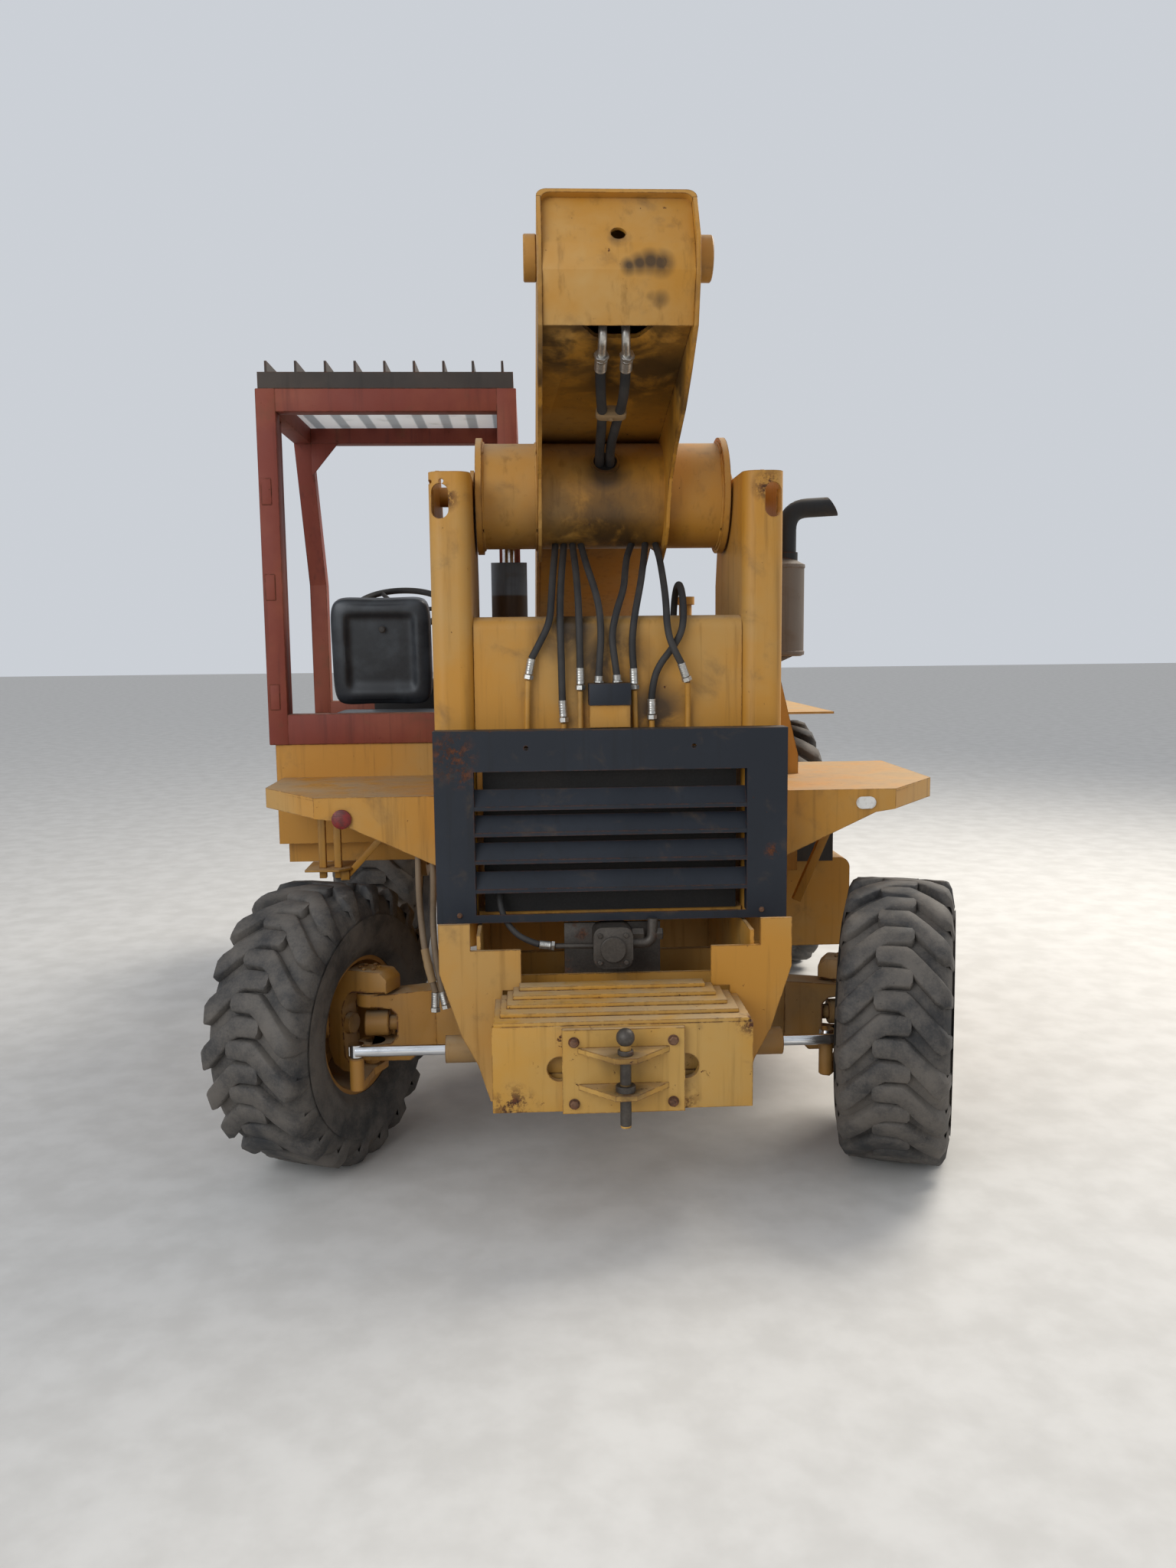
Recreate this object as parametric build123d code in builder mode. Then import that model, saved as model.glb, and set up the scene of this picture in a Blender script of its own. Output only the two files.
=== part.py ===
from build123d import *
from math import acos, atan2, cos, degrees, hypot, radians, sin, tan
import os

os.makedirs("parts", exist_ok=True)

# Telehandler with a high boom pivot, in millimetres.
# +X is the machine's right, +Y is forward, +Z is up. The ground is z = 0.

# Overall places
REAR_AXLE_Y = -1981.0
WHEELBASE = 2350.0
FRONT_AXLE_Y = REAR_AXLE_Y + WHEELBASE
RUNNING_CLEARANCE = 0.05
SIDE_CLEARANCE = 6.0
SEAT_GAP = 0.3
FOOT_PIN_R = 20.0

# Wheels
REAR_TYRE_R = 450.0
REAR_TYRE_W = 343.0
REAR_RIM_R = 222.0
FRONT_TYRE_R = 625.0
FRONT_TYRE_W = 400.0
FRONT_RIM_R = 318.0
REAR_HALF_TRACK = 937.0
FRONT_HALF_TRACK = 985.0
KINGPIN_X = 770.0
KINGPIN_R = 24.0
LEFT_STEER_REST = -24.0
RIGHT_STEER_REST = -19.5

# Chassis and towers
PLATE_T = 12.0
RAIL_Z0 = 470.0
RAIL_Z1 = 830.0
RAIL_FRONT_Y = FRONT_AXLE_Y + 370.0
TOWER_OUT_X = 541.0
TOWER_IN_X = 415.0
RAIL_HALF_W = TOWER_IN_X
TOWER_REAR_Y = REAR_AXLE_Y - 77.0
TOWER_TOP_Z = 2179.0
TOWER_BASE_Z = 720.0
TOWER_DEPTH = 560.0
TOWER_WALL = 12.0
TOWER_BEND_R = 42.0

# Boom pivot and boom
PIVOT_Y = REAR_AXLE_Y + 300.0
PIVOT_Z = 2145.0
PIVOT_PIN_R = 32.0
EAR_TOP_Z = 2226.0
TUBE_R = 170.0
TUBE_HALF_L = 387.0
END_PLATE_T = 20.0
END_PLATE_R = 188.0
BOOM_SLOPE = 20.0
BOOM_HALF_W = 209.0
BOOM_V0 = 10.0
BOOM_V1 = 370.0
BOOM_WALL = 12.0
BOOM_TAIL_U = -1010.0
BOOM_MOUTH_U = 2500.0
INNER_GAP = 8.0
INNER_WALL = 12.0
INNER_TAIL_U = 215.0
INNER_END_U = 3030.0
HEAD_PIN_U = 3330.0
HEAD_PIN_V = -500.0
HEAD_PLATE_T = 25.0
HEAD_PIN_R = 30.0

# Rear axle trunnion
TRUNNION_R = 60.0
TRUNNION_Z = REAR_TYRE_R + 20.0

# Levelling cylinder
LEVEL_X = -310.0

# Lift cylinder
LIFT_RANGE = 64.0
LIFT_BASE_Y = REAR_AXLE_Y + 640.0
LIFT_BASE_Z = 900.0
LIFT_EYE_U = 1560.0
LIFT_EYE_V = -60.0
LIFT_BARREL_R = 68.0
LIFT_ROD_R = 38.0

# Cab
CAB_X0 = -1190.0
CAB_X1 = -275.0
CAB_REAR_Y = REAR_AXLE_Y + 620.0
CAB_FRONT_Y = REAR_AXLE_Y + 1640.0
CAB_SILL_Z = 1305.0
CAB_TOP_Z = 2560.0
CAB_POST = 70.0
CAB_FLOOR_Z = 950.0

# Rear shelves over the steered wheels
SHELF_Z = 1185.0
SHELF_T = 8.0
SHELF_REAR_Y = REAR_AXLE_Y + 30.0
SHELF_FRONT_Y = REAR_AXLE_Y + 900.0
SHELF_OUT_X = 1145.0

# Grille
GRILLE_REAR_Y = REAR_AXLE_Y - 153.0
GRILLE_HALF_W = 540.0
GRILLE_Z0 = 813.0
GRILLE_Z1 = 1403.0
GRILLE_DEPTH = 76.0

# Counterweight and tow plate
CW_HALF_W = 368.0
CW_REAR_Y = REAR_AXLE_Y - 526.0
CW_DEPTH = 240.0
CW_Z0 = 355.0
CW_Z1 = 612.0
TOW_HALF_W = 172.0
TOW_T = 20.0
TOW_Z0 = 356.0
TOW_Z1 = 598.0
TOW_BOLT_X = 139.0
TOW_BOLT_Z0 = 385.0
TOW_BOLT_Z1 = 563.0
TOW_HOLE_R = 9.0
BALL_R = 25.0

CENTRE = (Align.CENTER, Align.CENTER, Align.CENTER)
ON_BASE = (Align.CENTER, Align.CENTER, Align.MIN)


def save(part, name):
    """Label a finished piece and write it."""
    part.label = name
    export_step(part, f"parts/{name}.step")


def block(x0, x1, y0, y1, z0, z1, mode=Mode.ADD):
    """A box between two corners."""
    with Locations(((x0 + x1) / 2, (y0 + y1) / 2, (z0 + z1) / 2)):
        Box(abs(x1 - x0), abs(y1 - y0), abs(z1 - z0), mode=mode)


def bar(start, end, radius, mode=Mode.ADD):
    """A round bar from one point to another."""
    way = Vector(*end) - Vector(*start)
    with Locations(Plane(origin=start, z_dir=way).location):
        Cylinder(radius, way.length, align=ON_BASE, mode=mode)


def strut(start, end, width, height, mode=Mode.ADD):
    """A square bar from one point to another, its width lying level."""
    way = Vector(*end) - Vector(*start)
    side = Vector(0, 0, 1).cross(way)
    if side.length < 1:
        side = Vector(1, 0, 0)
    with Locations(Plane(origin=start, x_dir=side, z_dir=way).location):
        Box(width, height, way.length, align=ON_BASE, mode=mode)


def side_plate(outline, x0, x1, mode=Mode.ADD):
    """A plate square to X, its outline given as (y, z) points."""
    with BuildSketch(Plane.YZ.offset(x0)) as profile:
        with BuildLine():
            Polyline(*outline, close=True)
        make_face()
    extrude(profile.sketch, amount=x1 - x0, mode=mode)


def cross_plate(outline, y0, y1, mode=Mode.ADD):
    """A plate square to Y, its outline given as (x, z) points."""
    with BuildSketch(Plane.XZ.offset(-y0)) as profile:
        with BuildLine():
            Polyline(*outline, close=True)
        make_face()
    extrude(profile.sketch, amount=-(y1 - y0), mode=mode)


def flat_plate(outline, z0, z1, mode=Mode.ADD):
    """A level plate, its outline given as (x, y) points."""
    with BuildSketch(Plane.XY.offset(z0)) as profile:
        with BuildLine():
            Polyline(*outline, close=True)
        make_face()
    extrude(profile.sketch, amount=z1 - z0, mode=mode)


def boom_plane(x):
    """The plane of the boom's side view: u runs along the boom, v across it."""
    slope = radians(BOOM_SLOPE)
    return Plane(origin=(x, PIVOT_Y, PIVOT_Z), x_dir=(0, cos(slope), -sin(slope)), z_dir=(1, 0, 0))


def boom_point(x, u, v):
    """A point of the boom's own frame, in the machine's frame."""
    slope = radians(BOOM_SLOPE)
    return (x, PIVOT_Y + u * cos(slope) + v * sin(slope), PIVOT_Z - u * sin(slope) + v * cos(slope))


def boom_plate(outline, x0, x1, mode=Mode.ADD):
    """A plate square to X, its outline given as (u, v) points of the boom."""
    with BuildSketch(boom_plane(x0)) as profile:
        with BuildLine():
            Polyline(*outline, close=True)
        make_face()
    extrude(profile.sketch, amount=x1 - x0, mode=mode)


def boom_block(x0, x1, u0, u1, v0, v1, mode=Mode.ADD):
    """A box that lies along the boom."""
    boom_plate([(u0, v0), (u1, v0), (u1, v1), (u0, v1)], x0, x1, mode)


def boom_bar(x0, x1, u, v, radius, mode=Mode.ADD):
    """A round bar across the boom."""
    with BuildSketch(boom_plane(x0)) as profile:
        with Locations((u, v)):
            Circle(radius)
    extrude(profile.sketch, amount=x1 - x0, mode=mode)


# Chassis: two side plates, cross plates, and the stepped plates at the rear
REAR_PLATE_Y = REAR_AXLE_Y - 290.0
with BuildPart() as chassis_frame:
    rail = [
        (REAR_PLATE_Y + PLATE_T, RAIL_Z0 + 40),
        (REAR_AXLE_Y - 90, RAIL_Z0 + 100),
        (REAR_AXLE_Y + 130, RAIL_Z0 + 100),
        (REAR_AXLE_Y + 400, RAIL_Z0),
        (RAIL_FRONT_Y - 250, RAIL_Z0),
        (RAIL_FRONT_Y, RAIL_Z0 + 120),
        (RAIL_FRONT_Y, RAIL_Z1),
        (REAR_AXLE_Y - 60, RAIL_Z1),
        (REAR_AXLE_Y - 60, GRILLE_Z0 - 8),
        (REAR_PLATE_Y + PLATE_T, GRILLE_Z0 - 8),
    ]
    for side in (-1, 1):
        side_plate(rail, side * RAIL_HALF_W, side * (RAIL_HALF_W - PLATE_T))
        # stepped plate beside the counterweight
        edge = [
            (side * 284, 640), (side * 284, 762), (side * 433, 762), (side * 433, 843),
            (side * 527, 843), (side * 527, 696), (side * 497, 602), (side * 464, 500),
            (side * 417, 411), (side * 382, 298), (side * 340, 298), (side * 340, 640),
        ]
        cross_plate(edge, REAR_PLATE_Y, REAR_PLATE_Y + PLATE_T)
        side_plate(
            [(REAR_PLATE_Y + PLATE_T, 300), (REAR_PLATE_Y + PLATE_T, 640), (REAR_PLATE_Y + 50, 640),
             (REAR_PLATE_Y + 40, 330)],
            side * 372, side * 384,
        )
    inner = RAIL_HALF_W - PLATE_T
    for y, z0, z1 in (
        (REAR_AXLE_Y - 130, 560, 640),
        (REAR_AXLE_Y + 560, RAIL_Z0, RAIL_Z1),
        (FRONT_AXLE_Y - 330, RAIL_Z0, RAIL_Z1),
        (RAIL_FRONT_Y - PLATE_T, RAIL_Z0 + 120, RAIL_Z1),
    ):
        block(-inner, inner, y, y + PLATE_T, z0, z1)
    # bearers under the radiator, the engine and the hydraulic tank
    for x0, y0, y1 in (
        (-inner, -60, 30),
        (-inner, 120, 180),
        (-inner, 440, 500),
        (230, 740, 800),
        (230, 1300, 1360),
    ):
        block(x0, inner, REAR_AXLE_Y + y0, REAR_AXLE_Y + y1, RAIL_Z1 - PLATE_T, RAIL_Z1)
    # hanger for the rear axle's trunnion
    block(-inner, inner, REAR_AXLE_Y + 150, REAR_AXLE_Y + 170, 400, 640)
    bar((0, REAR_AXLE_Y + 149, TRUNNION_Z), (0, REAR_AXLE_Y + 171, TRUNNION_Z), TRUNNION_R + SEAT_GAP, Mode.SUBTRACT)
    # outriggers that carry the cab
    for y0 in (700, 1480):
        block(-1150, -inner, REAR_AXLE_Y + y0, REAR_AXLE_Y + y0 + 60, 860, CAB_FLOOR_Z - 10)
        block(-RAIL_HALF_W - PLATE_T, -RAIL_HALF_W, REAR_AXLE_Y + y0 - 40, REAR_AXLE_Y + y0 + 100, 640, CAB_FLOOR_Z - 10)
    # lugs for the feet of the lift and levelling cylinders, with their pins
    bar((-LIFT_BARREL_R - SIDE_CLEARANCE - 25, LIFT_BASE_Y, LIFT_BASE_Z), (LIFT_BARREL_R + SIDE_CLEARANCE + 25, LIFT_BASE_Y, LIFT_BASE_Z), FOOT_PIN_R)
    bar((LEVEL_X - 42, REAR_AXLE_Y + 560, 1040), (LEVEL_X + 42, REAR_AXLE_Y + 560, 1040), FOOT_PIN_R / 2)
    for side in (-1, 1):
        side_plate([(REAR_AXLE_Y + 560, RAIL_Z1 - 200), (REAR_AXLE_Y + 560, RAIL_Z1 + 60), (LIFT_BASE_Y - 40, LIFT_BASE_Z + 60),
                    (LIFT_BASE_Y + 60, LIFT_BASE_Z + 40), (LIFT_BASE_Y + 60, LIFT_BASE_Z - 70), (REAR_AXLE_Y + 572, RAIL_Z1 - 260)],
                   side * (LIFT_BARREL_R + SIDE_CLEARANCE), side * (LIFT_BARREL_R + SIDE_CLEARANCE + 25))
        lug_x = LEVEL_X + side * (20 + SIDE_CLEARANCE)
        side_plate([(REAR_AXLE_Y + 520, RAIL_Z1 - 120), (REAR_AXLE_Y + 520, 1080), (REAR_AXLE_Y + 600, 1080),
                    (REAR_AXLE_Y + 600, RAIL_Z1 - 120)], lug_x, lug_x + side * 16)
    # room for the front axle and the propshafts
    block(-RAIL_HALF_W - 1, RAIL_HALF_W + 1, FRONT_AXLE_Y - 80.3, FRONT_AXLE_Y + 80.3, FRONT_TYRE_R - 80.3,
          FRONT_TYRE_R + 80.3, Mode.SUBTRACT)
    bar((0, REAR_AXLE_Y + 540, 484), (0, REAR_AXLE_Y + 580, 485), 60, Mode.SUBTRACT)
    bar((60, FRONT_AXLE_Y - 350, 600), (60, FRONT_AXLE_Y - 300, 602), 60, Mode.SUBTRACT)
    # deck over the front end
    block(-inner, inner, FRONT_AXLE_Y - 200, RAIL_FRONT_Y, RAIL_Z1 - PLATE_T, RAIL_Z1)
save(chassis_frame.part, "chassis_frame")

# Towers: folded channels, open to the front, with a bearing plate for the pivot pin
with BuildPart() as towers:
    for side in (-1, 1):
        x_in = side * TOWER_IN_X
        x_out = side * TOWER_OUT_X
        front = TOWER_REAR_Y + TOWER_DEPTH
        with BuildSketch(Plane.XY.offset(TOWER_BASE_Z)):
            with Locations((side * (TOWER_IN_X + TOWER_OUT_X) / 2, TOWER_REAR_Y + TOWER_DEPTH / 2)):
                outside = Rectangle(TOWER_OUT_X - TOWER_IN_X, TOWER_DEPTH)
            fillet(outside.vertices().group_by(Axis.Y)[0], TOWER_BEND_R)
        extrude(amount=EAR_TOP_Z - TOWER_BASE_Z)
        with BuildSketch(Plane.XY.offset(TOWER_BASE_Z)):
            with Locations((side * (TOWER_IN_X + TOWER_OUT_X) / 2, TOWER_REAR_Y + TOWER_DEPTH / 2 + TOWER_WALL)):
                hollow = Rectangle(TOWER_OUT_X - TOWER_IN_X - 2 * TOWER_WALL, TOWER_DEPTH)
            fillet(hollow.vertices().group_by(Axis.Y)[0], TOWER_BEND_R - TOWER_WALL)
        extrude(amount=EAR_TOP_Z - TOWER_BASE_Z, mode=Mode.SUBTRACT)
        # the top rises to the ear round the pin, then slopes down to the front edge
        side_plate([(TOWER_REAR_Y - 1, TOWER_TOP_Z), (PIVOT_Y - 110, TOWER_TOP_Z), (PIVOT_Y - 40, EAR_TOP_Z),
                    (PIVOT_Y + 40, EAR_TOP_Z), (PIVOT_Y + 95, PIVOT_Z), (front + 1, 1850), (front + 1, EAR_TOP_Z + 5),
                    (TOWER_REAR_Y - 1, EAR_TOP_Z + 5)], x_in - side, x_out + side, Mode.SUBTRACT)
        # stadium slot and two small holes in the rear face
        with BuildSketch(Plane.XZ.offset(-TOWER_REAR_Y + 1)):
            with Locations((side * 506, 2092)):
                SlotOverall(104, 52, rotation=90)
            if side < 0:
                with Locations((-536, 2150), (-500, 2150)):
                    Circle(7)
        extrude(amount=-(TOWER_WALL + 60), mode=Mode.SUBTRACT)
        # the pin's bore
        bar((x_in - side, PIVOT_Y, PIVOT_Z), (x_out + side, PIVOT_Y, PIVOT_Z),
            PIVOT_PIN_R + RUNNING_CLEARANCE, Mode.SUBTRACT)
save(towers.part, "towers")

# Cross member between the towers, with a rolled top edge
CROSS_REAR_Y = REAR_AXLE_Y - 50.0
CROSS_TOP_Z = 1746.0
CROSS_BASE_Z = 1345.0
CROSS_T = 12.0
CROSS_ROLL_R = 40.0
with BuildPart() as cross_member:
    with BuildSketch(Plane.YZ.offset(-TOWER_IN_X)):
        with BuildLine():
            Line((CROSS_REAR_Y, CROSS_BASE_Z), (CROSS_REAR_Y, CROSS_TOP_Z - CROSS_ROLL_R))
            TangentArc(
                (CROSS_REAR_Y, CROSS_TOP_Z - CROSS_ROLL_R),
                (CROSS_REAR_Y + CROSS_ROLL_R, CROSS_TOP_Z), tangent=(0, 1))
            Polyline(
                (CROSS_REAR_Y + CROSS_ROLL_R, CROSS_TOP_Z), (CROSS_REAR_Y + 90, CROSS_TOP_Z),
                (CROSS_REAR_Y + 90, CROSS_TOP_Z - CROSS_T),
                (CROSS_REAR_Y + CROSS_ROLL_R, CROSS_TOP_Z - CROSS_T))
            TangentArc(
                (CROSS_REAR_Y + CROSS_ROLL_R, CROSS_TOP_Z - CROSS_T),
                (CROSS_REAR_Y + CROSS_T, CROSS_TOP_Z - CROSS_ROLL_R), tangent=(-1, 0))
            Polyline(
                (CROSS_REAR_Y + CROSS_T, CROSS_TOP_Z - CROSS_ROLL_R),
                (CROSS_REAR_Y + CROSS_T, CROSS_BASE_Z), (CROSS_REAR_Y, CROSS_BASE_Z))
        make_face()
    extrude(amount=2 * TOWER_IN_X)
    block(-64, 64, CROSS_REAR_Y - 62, CROSS_REAR_Y, 1474, 1540)
    block(-62, 62, CROSS_REAR_Y - 56, CROSS_REAR_Y, 1406, 1474)
save(cross_member.part, "cross_member")

# Counterweight: a stack of plates over a deep rear face
with BuildPart() as counterweight:
    block(-CW_HALF_W, CW_HALF_W, CW_REAR_Y, CW_REAR_Y + 22, CW_Z0, CW_Z1 - 8)
    layers = 5
    step = (CW_Z1 - CW_Z0) / layers
    for i in range(layers):
        inset = 3 * (layers - 1 - i) % 7
        block(-CW_HALF_W + 6 + inset, CW_HALF_W - 6 - inset, CW_REAR_Y + 20, REAR_PLATE_Y,
              CW_Z0 + 2 + i * step, CW_Z0 + 2 + (i + 1) * step - 1.5)
        block(-CW_HALF_W + 20, CW_HALF_W - 20, CW_REAR_Y + 20, REAR_PLATE_Y, CW_Z0 + 2, CW_Z1 - 8)
save(counterweight.part, "counterweight")

# Tow hitch: plate, two triangular shelves, ball and pin
with BuildPart() as tow_hitch:
    tow_rear = CW_REAR_Y - TOW_T
    block(-TOW_HALF_W, TOW_HALF_W, tow_rear, CW_REAR_Y, TOW_Z0, TOW_Z1)
    for z, half_w in ((530, 128), (425, 126)):
        flat_plate([(-half_w, tow_rear), (half_w, tow_rear), (30, tow_rear - 95), (-30, tow_rear - 95)],
                   z, z + 16)
    bar((0, tow_rear - 62, 340), (0, tow_rear - 62, 575), 15)
    with Locations((0, tow_rear - 62, 595)):
        Sphere(BALL_R)
    with Locations((0, tow_rear - 62, 441)):
        Cylinder(27, 16, align=ON_BASE)
    for x in (-TOW_BOLT_X, TOW_BOLT_X):
        for z in (TOW_BOLT_Z0, TOW_BOLT_Z1):
            bar((x, tow_rear - 1, z), (x, CW_REAR_Y + 1, z), TOW_HOLE_R, Mode.SUBTRACT)
save(tow_hitch.part, "tow_hitch")

# Grille: a folded frame with four slanted louvres
with BuildPart() as grille:
    block(-GRILLE_HALF_W, GRILLE_HALF_W, GRILLE_REAR_Y, GRILLE_REAR_Y + GRILLE_DEPTH, GRILLE_Z0, GRILLE_Z1)
    block(-GRILLE_HALF_W + 4, GRILLE_HALF_W - 4, GRILLE_REAR_Y + 4, GRILLE_REAR_Y + GRILLE_DEPTH + 1,
          GRILLE_Z0 + 4, GRILLE_Z1 - 4, Mode.SUBTRACT)
    block(-420, 415, GRILLE_REAR_Y - 1, GRILLE_REAR_Y + 5, 838, 1279, Mode.SUBTRACT)
    for z in (1170, 1090, 1005, 915):
        side_plate([(GRILLE_REAR_Y + 4, z), (GRILLE_REAR_Y + 8, z), (GRILLE_REAR_Y + 40, z + 52),
                    (GRILLE_REAR_Y + 36, z + 52)], -424, 419)
        block(-424, 419, GRILLE_REAR_Y + 1, GRILLE_REAR_Y + 8, z - 10, z + 2)
    for x in (-424, 415):
        block(x, x + 5, GRILLE_REAR_Y + 2, GRILLE_REAR_Y + 42, 836, 1281)
    for x in (-259, 252):
        bar((x, GRILLE_REAR_Y - 1, 1350), (x, GRILLE_REAR_Y + 6, 1350), 7, Mode.SUBTRACT)
save(grille.part, "grille")

# Radiator and engine
with BuildPart() as radiator:
    block(-395, 395, REAR_AXLE_Y - 70, REAR_AXLE_Y + 20, RAIL_Z1, 1335)
save(radiator.part, "radiator")
with BuildPart() as engine_block:
    block(-230, 230, REAR_AXLE_Y + 60, REAR_AXLE_Y + 540, RAIL_Z1 + SEAT_GAP, 1330)
    block(-160, 160, REAR_AXLE_Y + 120, REAR_AXLE_Y + 520, 1330, 1420)
save(engine_block.part, "engine_block")

# Gear pump with its mount bracket
with BuildPart() as gear_pump:
    bar((0, REAR_AXLE_Y - 220, 731), (0, REAR_AXLE_Y - 60, 731), 62)
    block(-70, 70, REAR_AXLE_Y - 205, REAR_AXLE_Y - 185, 664, 802)
    block(-150, 150, REAR_AXLE_Y - 118, REAR_AXLE_Y - 106, 600, 800)
save(gear_pump.part, "gear_pump")

# Rear shelves over the steered wheels
with BuildPart() as rear_fenders:
    for side in (-1, 1):
        outline = [
            (side * (TOWER_OUT_X + SEAT_GAP), SHELF_REAR_Y), (side * 935, SHELF_REAR_Y), (side * SHELF_OUT_X, SHELF_REAR_Y + 290),
        ]
        if side < 0:
            outline += [(-SHELF_OUT_X, CAB_REAR_Y + 9), (-TOWER_OUT_X - SEAT_GAP, CAB_REAR_Y + 9)]
        else:
            outline += [(SHELF_OUT_X, SHELF_FRONT_Y), (722, SHELF_FRONT_Y), (722, REAR_AXLE_Y + 498),
                        (TOWER_OUT_X + SEAT_GAP, REAR_AXLE_Y + 498)]
        lip_front = CAB_REAR_Y + 9 if side < 0 else SHELF_FRONT_Y
        flat_plate(outline, SHELF_Z - SHELF_T, SHELF_Z)
        cross_plate([(side * (TOWER_OUT_X + SEAT_GAP), 955), (side * 870, SHELF_Z - 76), (side * 935, SHELF_Z - 66),
                     (side * 935, SHELF_Z), (side * (TOWER_OUT_X + SEAT_GAP), SHELF_Z)], SHELF_REAR_Y, SHELF_REAR_Y + SHELF_T)
        side_plate([(SHELF_REAR_Y + 290, SHELF_Z - 66), (lip_front, SHELF_Z - 66), (lip_front, SHELF_Z),
                    (SHELF_REAR_Y + 290, SHELF_Z)], side * (SHELF_OUT_X - SHELF_T), side * SHELF_OUT_X)
        strut((side * 931, SHELF_REAR_Y + 4, SHELF_Z - 33), (side * (SHELF_OUT_X - 4), SHELF_REAR_Y + 290, SHELF_Z - 33),
              SHELF_T, 66)
save(rear_fenders.part, "rear_fenders")

# Right engine cowl
with BuildPart() as engine_cowl:
    with BuildSketch(Plane.XZ.offset(-(REAR_AXLE_Y + 500))):
        with BuildLine():
            Polyline((560, RAIL_Z1), (720, RAIL_Z1), (720, 1250), (655, 1520), (560, 1520), close=True)
        make_face()
    extrude(amount=-1150)
    with BuildSketch(Plane.XZ.offset(-(REAR_AXLE_Y + 504))):
        with BuildLine():
            Polyline((555, RAIL_Z1 - 1), (715, RAIL_Z1 - 1), (715, 1249), (651, 1515), (555, 1515), close=True)
        make_face()
    extrude(amount=-1142, mode=Mode.SUBTRACT)
    block(RAIL_HALF_W, 562, REAR_AXLE_Y + 500, REAR_AXLE_Y + 1650, RAIL_Z1, RAIL_Z1 + 10)
    block(550, 560, REAR_AXLE_Y + 500, REAR_AXLE_Y + 1650, RAIL_Z1, 1520)
save(engine_cowl.part, "engine_cowl")

# Exhaust: muffler, clamp, pipe and elbow
EXHAUST_X = 692.0
EXHAUST_Y = REAR_AXLE_Y + 600.0
with BuildPart() as exhaust:
    bar((EXHAUST_X - 60, EXHAUST_Y, 1520), (EXHAUST_X - 60, EXHAUST_Y, 1521), 40)
    bar((EXHAUST_X - 60, EXHAUST_Y, 1520), (EXHAUST_X - 60, EXHAUST_Y, 1600), 28)
    bar((EXHAUST_X - 60, EXHAUST_Y, 1600), (EXHAUST_X - 60, EXHAUST_Y, 1940), 75)
    with BuildLine(Plane.XZ.offset(-EXHAUST_Y)) as stack:
        FilletPolyline((EXHAUST_X - 60, 1935), (EXHAUST_X - 60, 2125), (EXHAUST_X + 170, 2145), radius=80)
    with BuildSketch(Plane(origin=stack.line @ 0, z_dir=stack.line % 0)):
        Circle(32)
    sweep(path=stack.line)
save(exhaust.part, "exhaust")

# Side tank on the right, and the battery box behind it
with BuildPart() as side_tank:
    block(RAIL_HALF_W + SEAT_GAP, 985, REAR_AXLE_Y + 760, REAR_AXLE_Y + 1500, 480, RAIL_Z1 - 4)
    fillet(side_tank.edges().filter_by(Axis.Y), 40)
save(side_tank.part, "side_tank")
with BuildPart() as battery_box:
    block(722, 900, REAR_AXLE_Y + 690, REAR_AXLE_Y + 1000, RAIL_Z1 - 3.7, 1120)
save(battery_box.part, "battery_box")

# Hydraulic tank under the boom with its filler neck
with BuildPart() as hydraulic_tank:
    block(240, RAIL_HALF_W - PLATE_T - SEAT_GAP, REAR_AXLE_Y + 700, REAR_AXLE_Y + 1400, RAIL_Z1, 1600)
    fillet(hydraulic_tank.edges().filter_by(Axis.Y), 20)
    bar((350, REAR_AXLE_Y + 800, 1590), (350, REAR_AXLE_Y + 800, 1800), 24)
    bar((350, REAR_AXLE_Y + 800, 1800), (350, REAR_AXLE_Y + 800, 1830), 34)
save(hydraulic_tank.part, "hydraulic_tank")

# Cab: open frame of square tubes
with BuildPart() as cab_frame:
    post = CAB_POST
    for x0 in (CAB_X0, CAB_X1 - post):
        block(x0, x0 + post, CAB_REAR_Y, CAB_REAR_Y + post, CAB_SILL_Z, CAB_TOP_Z)
        block(x0, x0 + post, CAB_REAR_Y, CAB_FRONT_Y, CAB_TOP_Z - 80, CAB_TOP_Z)
        block(x0, x0 + post, CAB_REAR_Y, CAB_FRONT_Y, CAB_SILL_Z, CAB_SILL_Z + 60)
        block(x0, x0 + post, CAB_FRONT_Y - post, CAB_FRONT_Y, CAB_SILL_Z, CAB_TOP_Z)
    for y0 in (CAB_REAR_Y, CAB_FRONT_Y - post):
        block(CAB_X0, CAB_X1, y0, y0 + post, CAB_TOP_Z - 80, CAB_TOP_Z)
        block(CAB_X0, CAB_X1, y0, y0 + post, CAB_SILL_Z, CAB_SILL_Z + 110)
save(cab_frame.part, "cab_frame")

GUARD_Z = CAB_TOP_Z + 3.0
with BuildPart() as roof_guard:
    for x0 in (CAB_X0 + 10, CAB_X1 - 60):
        block(x0, x0 + 50, CAB_REAR_Y + 4, CAB_FRONT_Y - 4, CAB_TOP_Z, CAB_TOP_Z + 50)
    for i in range(9):
        x = CAB_X0 + 35 + i * 103.5
        block(x, x + 8, CAB_REAR_Y + 10, CAB_FRONT_Y - 10, CAB_TOP_Z + 50, CAB_TOP_Z + 95)
    for y0 in (CAB_REAR_Y + 4, CAB_FRONT_Y - 54):
        block(CAB_X0 + 10, CAB_X1 - 10, y0, y0 + 50, CAB_TOP_Z, CAB_TOP_Z + 56)
save(roof_guard.part, "roof_guard")

with BuildPart() as skylight:
    block(CAB_X0 + CAB_POST + SEAT_GAP, CAB_X1 - CAB_POST - SEAT_GAP, CAB_REAR_Y + CAB_POST + SEAT_GAP, CAB_FRONT_Y - CAB_POST - SEAT_GAP,
          CAB_TOP_Z - 20, CAB_TOP_Z - 14)
save(skylight.part, "skylight")

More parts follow.
